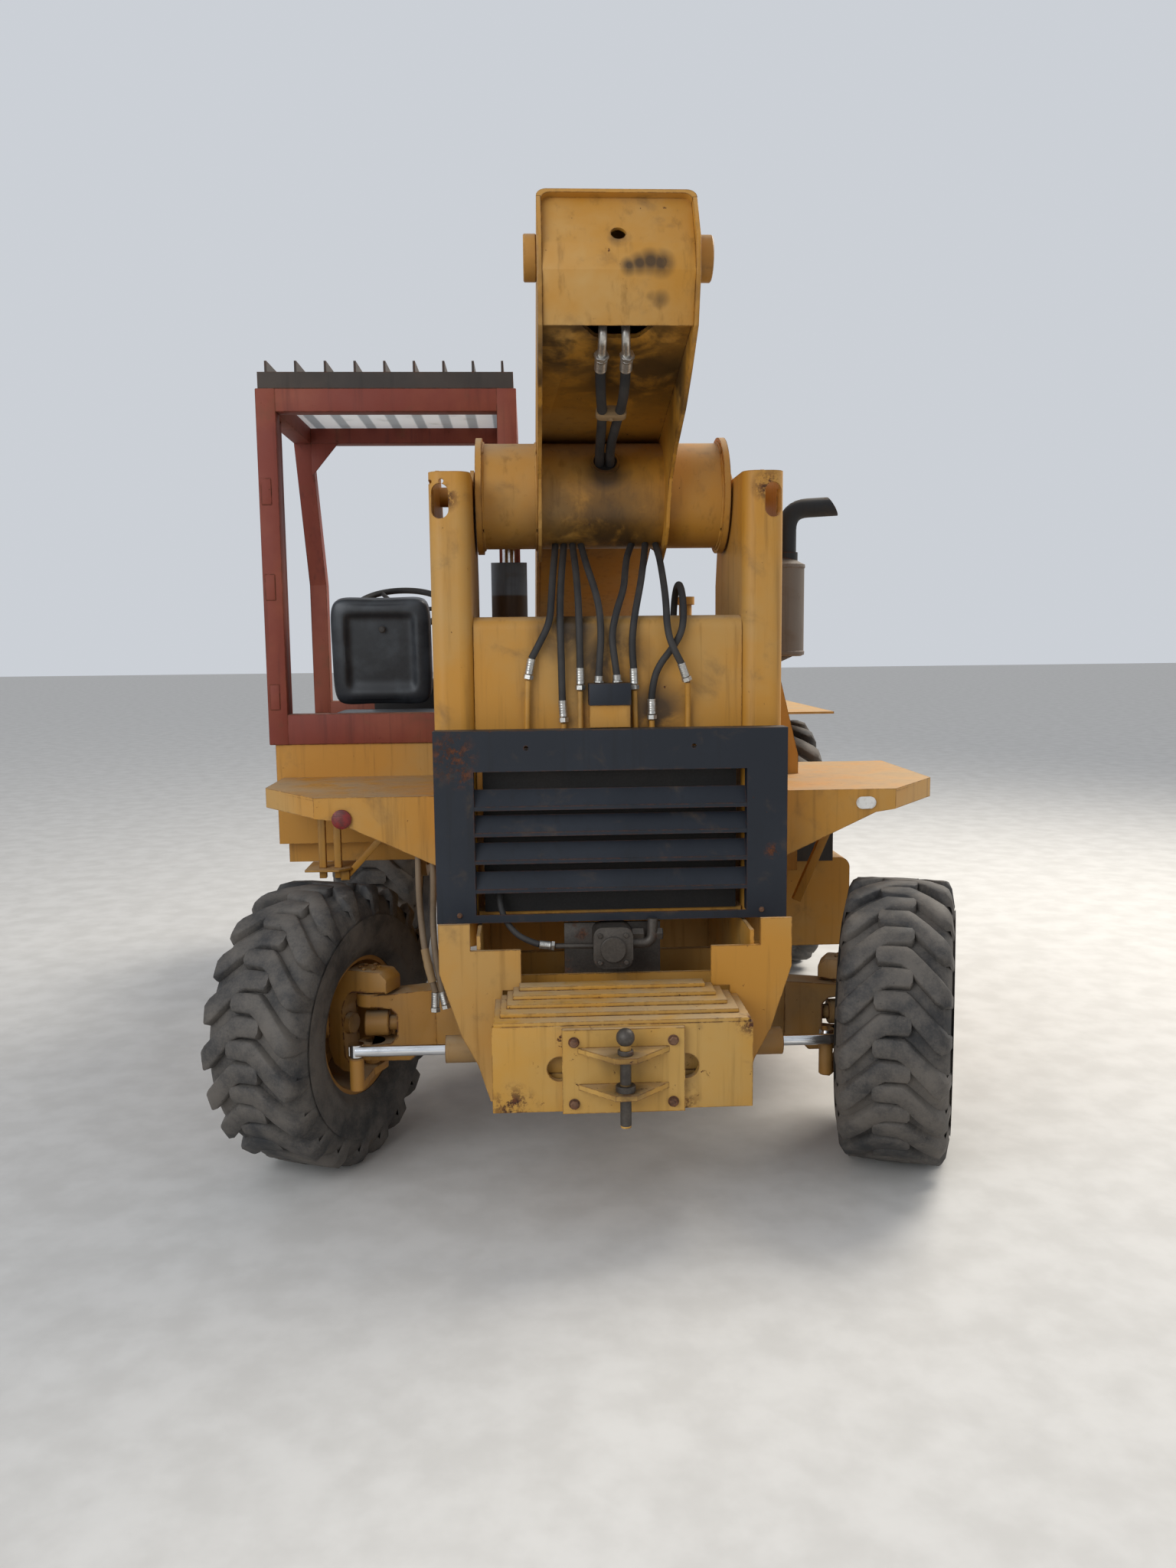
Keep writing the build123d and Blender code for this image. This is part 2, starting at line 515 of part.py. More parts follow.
# Cab body: an open tub of panels under the frame
with BuildPart() as cab_body:
    block(CAB_X0 + 20, CAB_X1 - 20, CAB_REAR_Y + 10, CAB_FRONT_Y - 10, CAB_FLOOR_Z - 10, CAB_SILL_Z)
    block(CAB_X0 + 30, CAB_X1 - 30, CAB_REAR_Y + 20, CAB_FRONT_Y - 20, CAB_FLOOR_Z, CAB_SILL_Z + 1, Mode.SUBTRACT)
    # seat pedestal
    block(-960, -560, CAB_REAR_Y + 60, CAB_REAR_Y + 480, CAB_FLOOR_Z - 1, CAB_FLOOR_Z + 330)
save(cab_body.part, "cab_body")

SEAT_X = -760.0
SEAT_W = 500.0
with BuildPart() as seat:
    seat_z = CAB_FLOOR_Z + 330
    block(SEAT_X - SEAT_W / 2, SEAT_X + SEAT_W / 2, CAB_REAR_Y + 150, CAB_REAR_Y + 620, seat_z, seat_z + 130)
    side_plate([(CAB_REAR_Y + 150, seat_z + 60), (CAB_REAR_Y + 270, seat_z + 60), (CAB_REAR_Y + 190, seat_z + 570),
                (CAB_REAR_Y + 90, seat_z + 570)], SEAT_X - SEAT_W / 2, SEAT_X + SEAT_W / 2)
    fillet(seat.edges().filter_by(Axis.X), 20)
save(seat.part, "seat")

WHEEL_TILT = 25.0
with BuildPart() as console:
    block(-900, -620, CAB_FRONT_Y - 290, CAB_FRONT_Y - 80, CAB_FLOOR_Z + 0.3, CAB_FLOOR_Z + 560)
    hub = Vector(SEAT_X, CAB_FRONT_Y - 330, CAB_FLOOR_Z + 860)
    column = Vector(0, sin(radians(WHEEL_TILT)), -cos(radians(WHEEL_TILT)))
    bar(tuple(hub + column * (20 + SEAT_GAP)), tuple(hub + column * 350), 24)
save(console.part, "console")

with BuildPart() as steering_wheel:
    hub = (SEAT_X, CAB_FRONT_Y - 330, CAB_FLOOR_Z + 860)
    tilt = radians(WHEEL_TILT)
    face = Plane(origin=hub, x_dir=(1, 0, 0), z_dir=(0, -sin(tilt), cos(tilt)))
    with Locations(face.location):
        Torus(190, 14)
        Cylinder(34, 40)
        for turn in (0, 120, 240):
            with Locations(Location((0, 0, 0), (0, 0, turn))):
                Box(190, 26, 10, align=(Align.MIN, Align.CENTER, Align.CENTER))
save(steering_wheel.part, "steering_wheel")

# Rear axle beam with forked ends for the kingpins
with BuildPart() as rear_axle:
    axle_z = REAR_TYRE_R
    block(-640, 640, REAR_AXLE_Y - 60, REAR_AXLE_Y + 60, axle_z - 65, axle_z + 65)
    for side in (-1, 1):
        for z0 in (axle_z - 105, axle_z + 65):
            block(side * 600, side * KINGPIN_X, REAR_AXLE_Y - 45, REAR_AXLE_Y + 45, z0, z0 + 40)
            bar((side * KINGPIN_X, REAR_AXLE_Y, z0), (side * KINGPIN_X, REAR_AXLE_Y, z0 + 40), 45)
        block(side * 590, side * 640, REAR_AXLE_Y - 60, REAR_AXLE_Y + 60, axle_z - 105, axle_z + 105)
        bar((side * KINGPIN_X, REAR_AXLE_Y, axle_z - 106), (side * KINGPIN_X, REAR_AXLE_Y, axle_z + 106),
            KINGPIN_R + RUNNING_CLEARANCE, Mode.SUBTRACT)
    with Locations((60, REAR_AXLE_Y + 10, axle_z)):
        Sphere(140)
    bar((0, REAR_AXLE_Y - 115, TRUNNION_Z), (0, REAR_AXLE_Y + 200, TRUNNION_Z), TRUNNION_R)
save(rear_axle.part, "rear_axle")

# Steering cylinder: body on the axle, chrome rod through it
STEER_Y = REAR_AXLE_Y - 185.0
STEER_Z = 428.0
STEER_ROD_R = 17.0
STEER_BODY_HALF = 520.0
with BuildPart() as steering_cylinder:
    bar((-STEER_BODY_HALF, STEER_Y, STEER_Z), (STEER_BODY_HALF, STEER_Y, STEER_Z), 42)
    for x in (-310, 270):
        block(x, x + 40, STEER_Y, REAR_AXLE_Y - 60, STEER_Z - 30, STEER_Z + 30)
    bar((-STEER_BODY_HALF - 1, STEER_Y, STEER_Z), (STEER_BODY_HALF + 1, STEER_Y, STEER_Z),
        STEER_ROD_R + RUNNING_CLEARANCE, Mode.SUBTRACT)
save(steering_cylinder.part, "steering_cylinder")
KNUCKLE_ARM = 165.0
KNUCKLE_ARM_IN = 45.0
ARM_TOP_Z = 403.0


def arm_end(side, steer):
    """Where a knuckle's steering arm meets the rod's eye, at a steering angle."""
    turn = radians(steer)
    out = Vector(side * cos(turn), side * sin(turn), 0)
    fore = Vector(-sin(turn), cos(turn), 0)
    return Vector(side * KINGPIN_X, REAR_AXLE_Y, 0) - fore * KNUCKLE_ARM - out * KNUCKLE_ARM_IN


with BuildPart() as steer_rod:
    ends = []
    for side, steer in ((-1, LEFT_STEER_REST), (1, RIGHT_STEER_REST)):
        end = arm_end(side, steer)
        ends.append(end.X)
        with Locations((end.X, end.Y, ARM_TOP_Z + SIDE_CLEARANCE)):
            Cylinder(24, 38, align=ON_BASE)
        block(end.X - 20, end.X + 20, STEER_Y, end.Y, STEER_Z - 14, STEER_Z + 14)
    bar((ends[0], STEER_Y, STEER_Z), (ends[1], STEER_Y, STEER_Z), STEER_ROD_R)
save(steer_rod.part, "steer_rod")

# Front axle
with BuildPart() as front_axle:
    block(-780, 780, FRONT_AXLE_Y - 80, FRONT_AXLE_Y + 80, FRONT_TYRE_R - 80, FRONT_TYRE_R + 80)
    with Locations((60, FRONT_AXLE_Y, FRONT_TYRE_R)):
        Sphere(185)
    for side in (-1, 1):
        bar((side * 779, FRONT_AXLE_Y, FRONT_TYRE_R), (side * 960, FRONT_AXLE_Y, FRONT_TYRE_R), 150)
        bar((side * 959, FRONT_AXLE_Y, FRONT_TYRE_R), (side * (1025 - SEAT_GAP), FRONT_AXLE_Y, FRONT_TYRE_R), 80)
save(front_axle.part, "front_axle")

with BuildPart() as front_fenders:
    for side in (-1, 1):
        block(side * (RAIL_HALF_W + SEAT_GAP), side * 1165, FRONT_AXLE_Y - 620, FRONT_AXLE_Y + 480, 1320, 1330)
        block(side * (RAIL_HALF_W + SEAT_GAP), side * 760, FRONT_AXLE_Y - 620, FRONT_AXLE_Y - 610, RAIL_Z1 - 150, 1330)
save(front_fenders.part, "front_fenders")

# Gearbox and propshafts
with BuildPart() as gearbox:
    block(-180, 180, REAR_AXLE_Y + 700, REAR_AXLE_Y + 1050, 420, 780)
    reach = RAIL_HALF_W - PLATE_T - SEAT_GAP
    block(-reach, reach, REAR_AXLE_Y + 850, REAR_AXLE_Y + 900, 560, 620)
    bar((0, REAR_AXLE_Y + 200 + SEAT_GAP, TRUNNION_Z), (0, REAR_AXLE_Y + 700, TRUNNION_Z), 35)
    bar((60, REAR_AXLE_Y + 1050, 560), (60, FRONT_AXLE_Y - 186, FRONT_TYRE_R), 35)
save(gearbox.part, "gearbox")

# Lamps: red lens on the left shelf, broken lamp's cup on the right
with BuildPart() as lamps:
    for x in (-850, 850):
        bar((x, SHELF_REAR_Y - 22, 1128), (x, SHELF_REAR_Y - 0.3, 1128), 31)
save(lamps.part, "lamps")

# Pivot cross tube with end plates and the pin's stubs
LEVEL_BASE = (LEVEL_X, REAR_AXLE_Y + 560.0, 1040.0)
LEVEL_EYE = (LEVEL_X, PIVOT_Y + 215.0, PIVOT_Z - 100.0)
with BuildPart() as pivot_tube:
    bar((-TUBE_HALF_L, PIVOT_Y, PIVOT_Z), (TUBE_HALF_L, PIVOT_Y, PIVOT_Z), TUBE_R)
    for side in (-1, 1):
        bar((side * TUBE_HALF_L, PIVOT_Y, PIVOT_Z), (side * (TUBE_HALF_L + END_PLATE_T), PIVOT_Y, PIVOT_Z), END_PLATE_R)
        bar((side * TUBE_HALF_L, PIVOT_Y, PIVOT_Z), (side * (TOWER_OUT_X + 12), PIVOT_Y, PIVOT_Z), PIVOT_PIN_R)
        lug_x = LEVEL_X + side * (20 + SIDE_CLEARANCE)
        side_plate([(PIVOT_Y + 60, PIVOT_Z + 120), (LEVEL_EYE[1] + 40, LEVEL_EYE[2] + 30), (LEVEL_EYE[1] + 30, LEVEL_EYE[2] - 40),
                    (LEVEL_EYE[1] - 30, LEVEL_EYE[2] - 40), (PIVOT_Y + 100, PIVOT_Z - 120)], lug_x, lug_x + side * 16)
save(pivot_tube.part, "pivot_tube")

# Outer boom: rectangular tube, side plates over the cross tube, open notch under the tail
with BuildPart() as boom_outer:
    w = BOOM_HALF_W
    boom_block(-w, w, BOOM_TAIL_U, BOOM_MOUTH_U, BOOM_V0, BOOM_V1)
    boom_block(-w + BOOM_WALL, w - BOOM_WALL, BOOM_TAIL_U - 1, BOOM_MOUTH_U + 1, BOOM_V0 + BOOM_WALL,
               BOOM_V1 - BOOM_WALL, Mode.SUBTRACT)
    for side in (-1, 1):
        cheek = [(-330, BOOM_V0 + 2), (-175, -120), (-80, -190), (80, -190), (190, -110), (420, BOOM_V0 + 2)]
        boom_plate(cheek, side * (w - BOOM_WALL), side * w)
        boom_bar(side * w, side * (w + 32), -790, 262, 48)
        # lugs for the lift cylinder's eye
        boom_plate([(LIFT_EYE_U - 150, BOOM_V0), (LIFT_EYE_U + 150, BOOM_V0), (LIFT_EYE_U + 50, LIFT_EYE_V - 55),
                    (LIFT_EYE_U - 50, LIFT_EYE_V - 55)], side * 52, side * 72)
    # wear pads inside the mouth, which carry the inner boom
    for side in (-1, 1):
        boom_block(side * 60, side * 150, BOOM_MOUTH_U - 120, BOOM_MOUTH_U - 20, BOOM_V0 + BOOM_WALL,
                   BOOM_V0 + BOOM_WALL + INNER_GAP - SEAT_GAP)
        boom_block(side * 60, side * 150, BOOM_MOUTH_U - 120, BOOM_MOUTH_U - 20, BOOM_V1 - BOOM_WALL,
                   BOOM_V1 - BOOM_WALL - INNER_GAP + SEAT_GAP)
    # notch under the tail
    boom_block(-110, 110, BOOM_TAIL_U - 1, -760, BOOM_V0 - 1, BOOM_V0 + BOOM_WALL + 1, Mode.SUBTRACT)
    bar((-TUBE_HALF_L, PIVOT_Y, PIVOT_Z), (TUBE_HALF_L, PIVOT_Y, PIVOT_Z), TUBE_R, Mode.SUBTRACT)
save(boom_outer.part, "boom_outer")

with BuildPart() as boom_end_cap:
    w = BOOM_HALF_W - BOOM_WALL - 0.3
    cap = [(BOOM_TAIL_U + 18, BOOM_V1 - BOOM_WALL - 0.3), (BOOM_TAIL_U + 18, 120), (BOOM_TAIL_U + 90, BOOM_V0 + BOOM_WALL + 0.3),
           (BOOM_TAIL_U + 100, BOOM_V0 + BOOM_WALL + 0.3), (BOOM_TAIL_U + 28, 122), (BOOM_TAIL_U + 28, BOOM_V1 - BOOM_WALL - 0.3)]
    boom_plate(cap, -w, w)
save(boom_end_cap.part, "boom_end_cap")

# Inner boom with its head plates
TILT_BASE_U0 = 2640.0
TILT_BARREL_R = 45.0
with BuildPart() as boom_inner:
    w = BOOM_HALF_W - BOOM_WALL - INNER_GAP
    v0 = BOOM_V0 + BOOM_WALL + INNER_GAP
    v1 = BOOM_V1 - BOOM_WALL - INNER_GAP
    boom_block(-w, w, INNER_TAIL_U, INNER_END_U, v0, v1)
    boom_block(-w + INNER_WALL, w - INNER_WALL, INNER_TAIL_U - 1, INNER_END_U - 12, v0 + INNER_WALL, v1 - INNER_WALL,
               Mode.SUBTRACT)
    for side in (-1, 1):
        head = [(BOOM_MOUTH_U + 60, v0 + 10), (INNER_END_U, v1), (INNER_END_U + 60, v1 - 40), (HEAD_PIN_U + 40, HEAD_PIN_V + 60),
                (HEAD_PIN_U + 50, HEAD_PIN_V - 50), (HEAD_PIN_U - 50, HEAD_PIN_V - 50), (INNER_END_U - 160, -160),
                (BOOM_MOUTH_U + 70, -130)]
        boom_plate(head, side * (w - HEAD_PLATE_T), side * w)
    boom_bar(-w, w, HEAD_PIN_U, HEAD_PIN_V, HEAD_PIN_R + 18)
    boom_bar(-w - 1, w + 1, HEAD_PIN_U, HEAD_PIN_V, HEAD_PIN_R + RUNNING_CLEARANCE, Mode.SUBTRACT)
    for x in (-TILT_BARREL_R - SIDE_CLEARANCE - 20, TILT_BARREL_R + SIDE_CLEARANCE):
        boom_plate([(TILT_BASE_U0 - 60, v0 + 5), (TILT_BASE_U0 + 60, v0 + 5), (TILT_BASE_U0 + 45, -105),
                    (TILT_BASE_U0 - 45, -105)], x, x + 20)
    reach = TILT_BARREL_R + SIDE_CLEARANCE + 20
    boom_bar(-reach, reach, TILT_BASE_U0, -60, FOOT_PIN_R)
save(boom_inner.part, "boom_inner")

# Carriage and forks
HEAD_PIN = boom_point(0, HEAD_PIN_U, HEAD_PIN_V)
CARRIAGE_Y = HEAD_PIN[1] + 240.0
FORK_Z0 = 30.0
CARRIAGE_TOP_Z = HEAD_PIN[2] + 450.0
TILT_BASE_U = 2640.0
TILT_BASE_V = -60.0
EYE_HALF = 32.0
TILT_BASE = boom_point(0.0, TILT_BASE_U, TILT_BASE_V)
TILT_EYE = (0.0, HEAD_PIN[1] + 50.0, HEAD_PIN[2] + 330.0)
with BuildPart() as carriage:
    w = BOOM_HALF_W - BOOM_WALL - INNER_GAP
    for z0 in (FORK_Z0 + 90, FORK_Z0 + 470):
        block(-600, 600, CARRIAGE_Y, CARRIAGE_Y + 40, z0, z0 + 110)
    for x in (-600, -320, 280, 560):
        block(x, x + 40, CARRIAGE_Y, CARRIAGE_Y + 40, FORK_Z0 + 100, CARRIAGE_TOP_Z)
    block(-600, 600, CARRIAGE_Y, CARRIAGE_Y + 40, CARRIAGE_TOP_Z - 40, CARRIAGE_TOP_Z)
    for side in (-1, 1):
        arm = [(CARRIAGE_Y + 1, TILT_EYE[2] - 90), (CARRIAGE_Y + 1, TILT_EYE[2] + 60), (TILT_EYE[1] - 40, TILT_EYE[2] + 40),
               (TILT_EYE[1] - 40, TILT_EYE[2] - 40)]
        side_plate(arm, side * (EYE_HALF + SIDE_CLEARANCE), side * (EYE_HALF + SIDE_CLEARANCE + 20))
    block(-64, 64, CARRIAGE_Y, CARRIAGE_Y + 40, FORK_Z0 + 90, CARRIAGE_TOP_Z)
    for side in (-1, 1):
        lug = [(HEAD_PIN[1] - 50, HEAD_PIN[2] - 50), (HEAD_PIN[1] + 50, HEAD_PIN[2] - 60), (CARRIAGE_Y + 10, HEAD_PIN[2] - 200),
               (CARRIAGE_Y + 10, HEAD_PIN[2] + 60), (HEAD_PIN[1] + 20, HEAD_PIN[2] + 55), (HEAD_PIN[1] - 50, HEAD_PIN[2] + 50)]
        side_plate(lug, side * (w + SIDE_CLEARANCE), side * (w + SIDE_CLEARANCE + 25))
    bar((-w - SIDE_CLEARANCE - 25, HEAD_PIN[1], HEAD_PIN[2]), (w + SIDE_CLEARANCE + 25, HEAD_PIN[1], HEAD_PIN[2]), HEAD_PIN_R)
save(carriage.part, "carriage")
with BuildPart() as forks:
    for x in (-330, 210):
        side_plate([(CARRIAGE_Y + 40.3, FORK_Z0), (CARRIAGE_Y + 700, FORK_Z0), (CARRIAGE_Y + 1110, FORK_Z0 + 35), (CARRIAGE_Y + 1110, FORK_Z0 + 45),
                    (CARRIAGE_Y + 85, FORK_Z0 + 45), (CARRIAGE_Y + 85, FORK_Z0 + 600), (CARRIAGE_Y + 40.3, FORK_Z0 + 600)],
                   x, x + 120)
save(forks.part, "forks")


def wheel_plane(x, y, z, steer):
    """A wheel's plane at its centre: the revolve's axis points out along its local X."""
    turn = radians(steer)
    return Plane(origin=(x, y, z), x_dir=(cos(turn), sin(turn), 0), z_dir=(0, 0, 1))


def tyre_profile(radius, width, rim_r):
    """Half section of a tyre as (across, radius) points."""
    half = width / 2
    return [
        (-half * 0.72, rim_r), (-half * 0.94, rim_r + 25), (-half, (radius + rim_r) / 2 + 10), (-half * 0.95, radius - 45),
        (-half * 0.8, radius - 8), (-half * 0.4, radius), (half * 0.4, radius), (half * 0.8, radius - 8),
        (half * 0.95, radius - 45), (half, (radius + rim_r) / 2 + 10), (half * 0.94, rim_r + 25), (half * 0.72, rim_r),
    ]


def wheel_section(points, plane):
    """Revolve a section, given as (across, radius) points, about the wheel's own axis."""
    with BuildSketch(Plane(origin=plane.origin, x_dir=plane.x_dir,
                           z_dir=plane.x_dir.cross(Vector(0, 0, 1)))) as section:
        with BuildLine():
            Polyline(*points, close=True)
        make_face()
    revolve(section.sketch, axis=Axis(plane.origin, plane.x_dir))


def steered_centre(side, steer):
    turn = radians(steer)
    reach = side * (REAR_HALF_TRACK - KINGPIN_X)
    return (side * KINGPIN_X + reach * cos(turn), REAR_AXLE_Y + reach * sin(turn), REAR_TYRE_R)


# name, side, centre, steer angle, tyre radius, tyre width, rim radius
WHEELS = (
    ("rear_left", -1, steered_centre(-1, LEFT_STEER_REST), LEFT_STEER_REST, REAR_TYRE_R, REAR_TYRE_W, REAR_RIM_R),
    ("rear_right", 1, steered_centre(1, RIGHT_STEER_REST), RIGHT_STEER_REST, REAR_TYRE_R, REAR_TYRE_W, REAR_RIM_R),
    ("front_left", -1, (-FRONT_HALF_TRACK, FRONT_AXLE_Y, FRONT_TYRE_R), 0.0, FRONT_TYRE_R, FRONT_TYRE_W, FRONT_RIM_R),
    ("front_right", 1, (FRONT_HALF_TRACK, FRONT_AXLE_Y, FRONT_TYRE_R), 0.0, FRONT_TYRE_R, FRONT_TYRE_W, FRONT_RIM_R),
)
for name, side, centre, steer, tyre_r, tyre_w, rim_r in WHEELS:
    plane = wheel_plane(*centre, steer)
    half = tyre_w / 2
    with BuildPart() as tyre:
        wheel_section(tyre_profile(tyre_r, tyre_w, rim_r), plane)
    save(tyre.part, f"tyre_{name}")
    disc = side * half * 0.35
    hub_in = disc - side * 40
    barrel = [
        (-half * 0.72, rim_r - 0.3), (half * 0.72, rim_r - 0.3), (half * 0.72, rim_r - 14), (-half * 0.72, rim_r - 14),
    ]
    with BuildPart() as rim:
        wheel_section(barrel, plane)
        wheel_section([(disc - 8, rim_r - 10), (disc + 8, rim_r - 10), (disc + 8, 1), (disc - 8, 1)], plane)
        wheel_section([(disc - 30, 0), (disc - 30, 85), (disc + 30, 85), (disc + 30, 0)], plane)
    save(rim.part, f"rim_{name}")

# Knuckles: a C-shaped body that holds the kingpin, with the hub's spindle and a steering arm
for name, side, steer in (("left", -1, LEFT_STEER_REST), ("right", 1, RIGHT_STEER_REST)):
    turn = radians(steer)
    out = Vector(side * cos(turn), side * sin(turn), 0)
    fore = Vector(-sin(turn), cos(turn), 0)
    king = Vector(side * KINGPIN_X, REAR_AXLE_Y, REAR_TYRE_R)
    reach = REAR_HALF_TRACK - KINGPIN_X
    hub_face = REAR_TYRE_W / 2 * 0.35 - 30
    body_plane = Plane(origin=king, x_dir=out, z_dir=(0, 0, 1))
    with BuildPart() as knuckle:
        with Locations(body_plane.location):
            with Locations((70, 0, 0)):
                Box(36, 90, 300)
            for z in (-150, 122):
                with Locations((26, 0, z)):
                    Box(112, 90, 28, align=(Align.CENTER, Align.CENTER, Align.MIN))
            Cylinder(KINGPIN_R, 300)
            with Locations(Location((60, 0, 0), (0, 90, 0))):
                Cylinder(60, reach + hub_face - 60 - SEAT_GAP, align=ON_BASE)
        end = arm_end(side, steer)
        strut((king.X, king.Y, REAR_TYRE_R - 137), (end.X, end.Y, REAR_TYRE_R - 137), 40, 26)
        bar((end.X, end.Y, REAR_TYRE_R - 150), (end.X, end.Y, ARM_TOP_Z), 22)
    save(knuckle.part, f"knuckle_{name}")


def cylinder_pair(name, base, eye, foot_half, eye_half, barrel_r, rod_r, barrel_share, pin_r, rod_room):
    """A hydraulic cylinder between two pins: barrel with its base eye, and rod with its eye."""
    way = (Vector(*eye) - Vector(*base))
    length = way.length
    way = way.normalized()
    along = lambda d: tuple(Vector(*base) + way * d)
    x = base[0]
    barrel_end = length * barrel_share
    with BuildPart() as barrel:
        foot_r = min(barrel_r * 0.8, 40)
        bar(along(foot_r + 20), along(barrel_end), barrel_r)
        bar((x - foot_half, base[1], base[2]), (x + foot_half, base[1], base[2]), foot_r)
        strut(along(0), along(foot_r + 21), foot_half * 2, foot_r)
        bar(along(barrel_r * 1.2), along(barrel_end + 1), rod_r + RUNNING_CLEARANCE, Mode.SUBTRACT)
        bar((x - foot_half - 1, base[1], base[2]), (x + foot_half + 1, base[1], base[2]),
            pin_r + RUNNING_CLEARANCE, Mode.SUBTRACT)
    save(barrel.part, f"{name}_barrel")
    with BuildPart() as rod:
        bar(along(barrel_r * 1.2 + 10 + rod_room), along(length - rod_r), rod_r)
        bar((x - eye_half, eye[1], eye[2]), (x + eye_half, eye[1], eye[2]), rod_r * 1.4)
    save(rod.part, f"{name}_rod")


LIFT_BASE = (0.0, LIFT_BASE_Y, LIFT_BASE_Z)
LIFT_EYE = boom_point(0.0, LIFT_EYE_U, LIFT_EYE_V)
cylinder_pair("lift", LIFT_BASE, LIFT_EYE, LIFT_BARREL_R, 44, LIFT_BARREL_R, LIFT_ROD_R, 0.86, FOOT_PIN_R, 0)
cylinder_pair("tilt", TILT_BASE, TILT_EYE, TILT_BARREL_R, EYE_HALF, TILT_BARREL_R, 25, 0.80, FOOT_PIN_R, 85)
cylinder_pair("level", LEVEL_BASE, LEVEL_EYE, 20, 20, 63, 22, 0.90, FOOT_PIN_R / 2, 0)
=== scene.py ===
import math

import bmesh
import bpy
from mathutils import Matrix, Vector, noise


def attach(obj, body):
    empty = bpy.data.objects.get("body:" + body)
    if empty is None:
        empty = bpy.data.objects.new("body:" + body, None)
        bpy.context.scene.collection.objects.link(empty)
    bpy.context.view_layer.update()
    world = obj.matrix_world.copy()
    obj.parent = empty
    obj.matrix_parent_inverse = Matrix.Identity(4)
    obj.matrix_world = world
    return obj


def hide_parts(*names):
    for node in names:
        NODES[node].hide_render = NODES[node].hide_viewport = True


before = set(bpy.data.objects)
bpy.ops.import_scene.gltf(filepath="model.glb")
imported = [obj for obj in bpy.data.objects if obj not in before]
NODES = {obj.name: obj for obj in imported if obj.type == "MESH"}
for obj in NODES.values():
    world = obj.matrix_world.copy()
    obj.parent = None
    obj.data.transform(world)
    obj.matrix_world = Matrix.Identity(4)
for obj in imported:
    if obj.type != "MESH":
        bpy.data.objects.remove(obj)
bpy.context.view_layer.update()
AXLE_Y = -1.981
WHEELBASE = 2.35
KING_X, AXLE_Z = 0.770, 0.45
PIVOT = Vector((0, AXLE_Y + 0.300, 2.145))
SLOPE = math.radians(20)
TURN = 2 * math.pi

# Camera, light and floor

PHOTO_HEIGHT, FOCAL_PIXELS, SENSOR = 2048, 1565.7, 36
CAMERA_PLACE = (-0.24875, -3.76525 + AXLE_Y, 1.67573)
FLOOR_REACH = 60


def link(name, data):
    """A new object in the scene."""
    obj = bpy.data.objects.new(name, data)
    bpy.context.collection.objects.link(obj)
    return obj


def make_camera():
    """The photograph's own view, from behind the machine."""
    yaw, pitch, roll = 0.0487, 0.1204, -0.0106
    level = Vector((math.sin(yaw), math.cos(yaw), 0))
    right = Vector((math.cos(yaw), -math.sin(yaw), 0))
    ahead = level * math.cos(pitch) - Vector((0, 0, math.sin(pitch)))
    up = Vector((0, 0, math.cos(pitch))) + level * math.sin(pitch)
    x_axis = right * math.cos(roll) + up * math.sin(roll)
    y_axis = up * math.cos(roll) - right * math.sin(roll)
    camera = link("camera", bpy.data.cameras.new("camera"))
    turn = Matrix((x_axis, y_axis, -ahead)).transposed().to_4x4()
    camera.matrix_world = Matrix.Translation(CAMERA_PLACE) @ turn
    camera.data.lens = FOCAL_PIXELS / PHOTO_HEIGHT * SENSOR
    camera.data.sensor_width = SENSOR
    bpy.context.scene.camera = camera


def make_light(name, place, target, size, power, colour):
    light = bpy.data.lights.new(name, "AREA")
    light.size, light.energy, light.color = size, power, colour
    obj = link(name, light)
    obj.location = place
    obj.rotation_euler = (Vector(target) - Vector(place)).to_track_quat("-Z", "Y").to_euler()


def make_stage():
    bpy.context.scene.view_settings.view_transform = "Standard"
    world = bpy.data.worlds.new("studio")
    bpy.context.scene.world = world
    world.use_nodes = True
    sky = world.node_tree.nodes["Background"].inputs
    sky["Color"].default_value = (0.80, 0.84, 0.90, 1)
    sky["Strength"].default_value = 0.75
    make_light("key", (4.5, 1.5, 6.5), (0, -0.8, 1.2), 4.0, 620, (1.0, 0.95, 0.86))
    make_light("fill", (-4.5, -7.5, 4.0), (0, -1.5, 1.2), 5.0, 260, (0.92, 0.96, 1.0))
    mesh = bpy.data.meshes.new("floor")
    reach = FLOOR_REACH
    corners = [(-reach, -reach, 0), (reach, -reach, 0), (reach, reach, 0), (-reach, reach, 0)]
    mesh.from_pydata(corners, [], [(0, 1, 2, 3)])
    floor = link("floor", mesh)
    material, nodes, shader = new_material("floor_pale")
    tone = nodes.mix(nodes.ramp(nodes.noise(6), 0.3, 0.7), (0.62, 0.60, 0.57), (0.55, 0.53, 0.50))
    nodes.fit(shader, {"Base Color": tone, "Roughness": 0.9})
    mesh.materials.append(material)


# Shader nodes


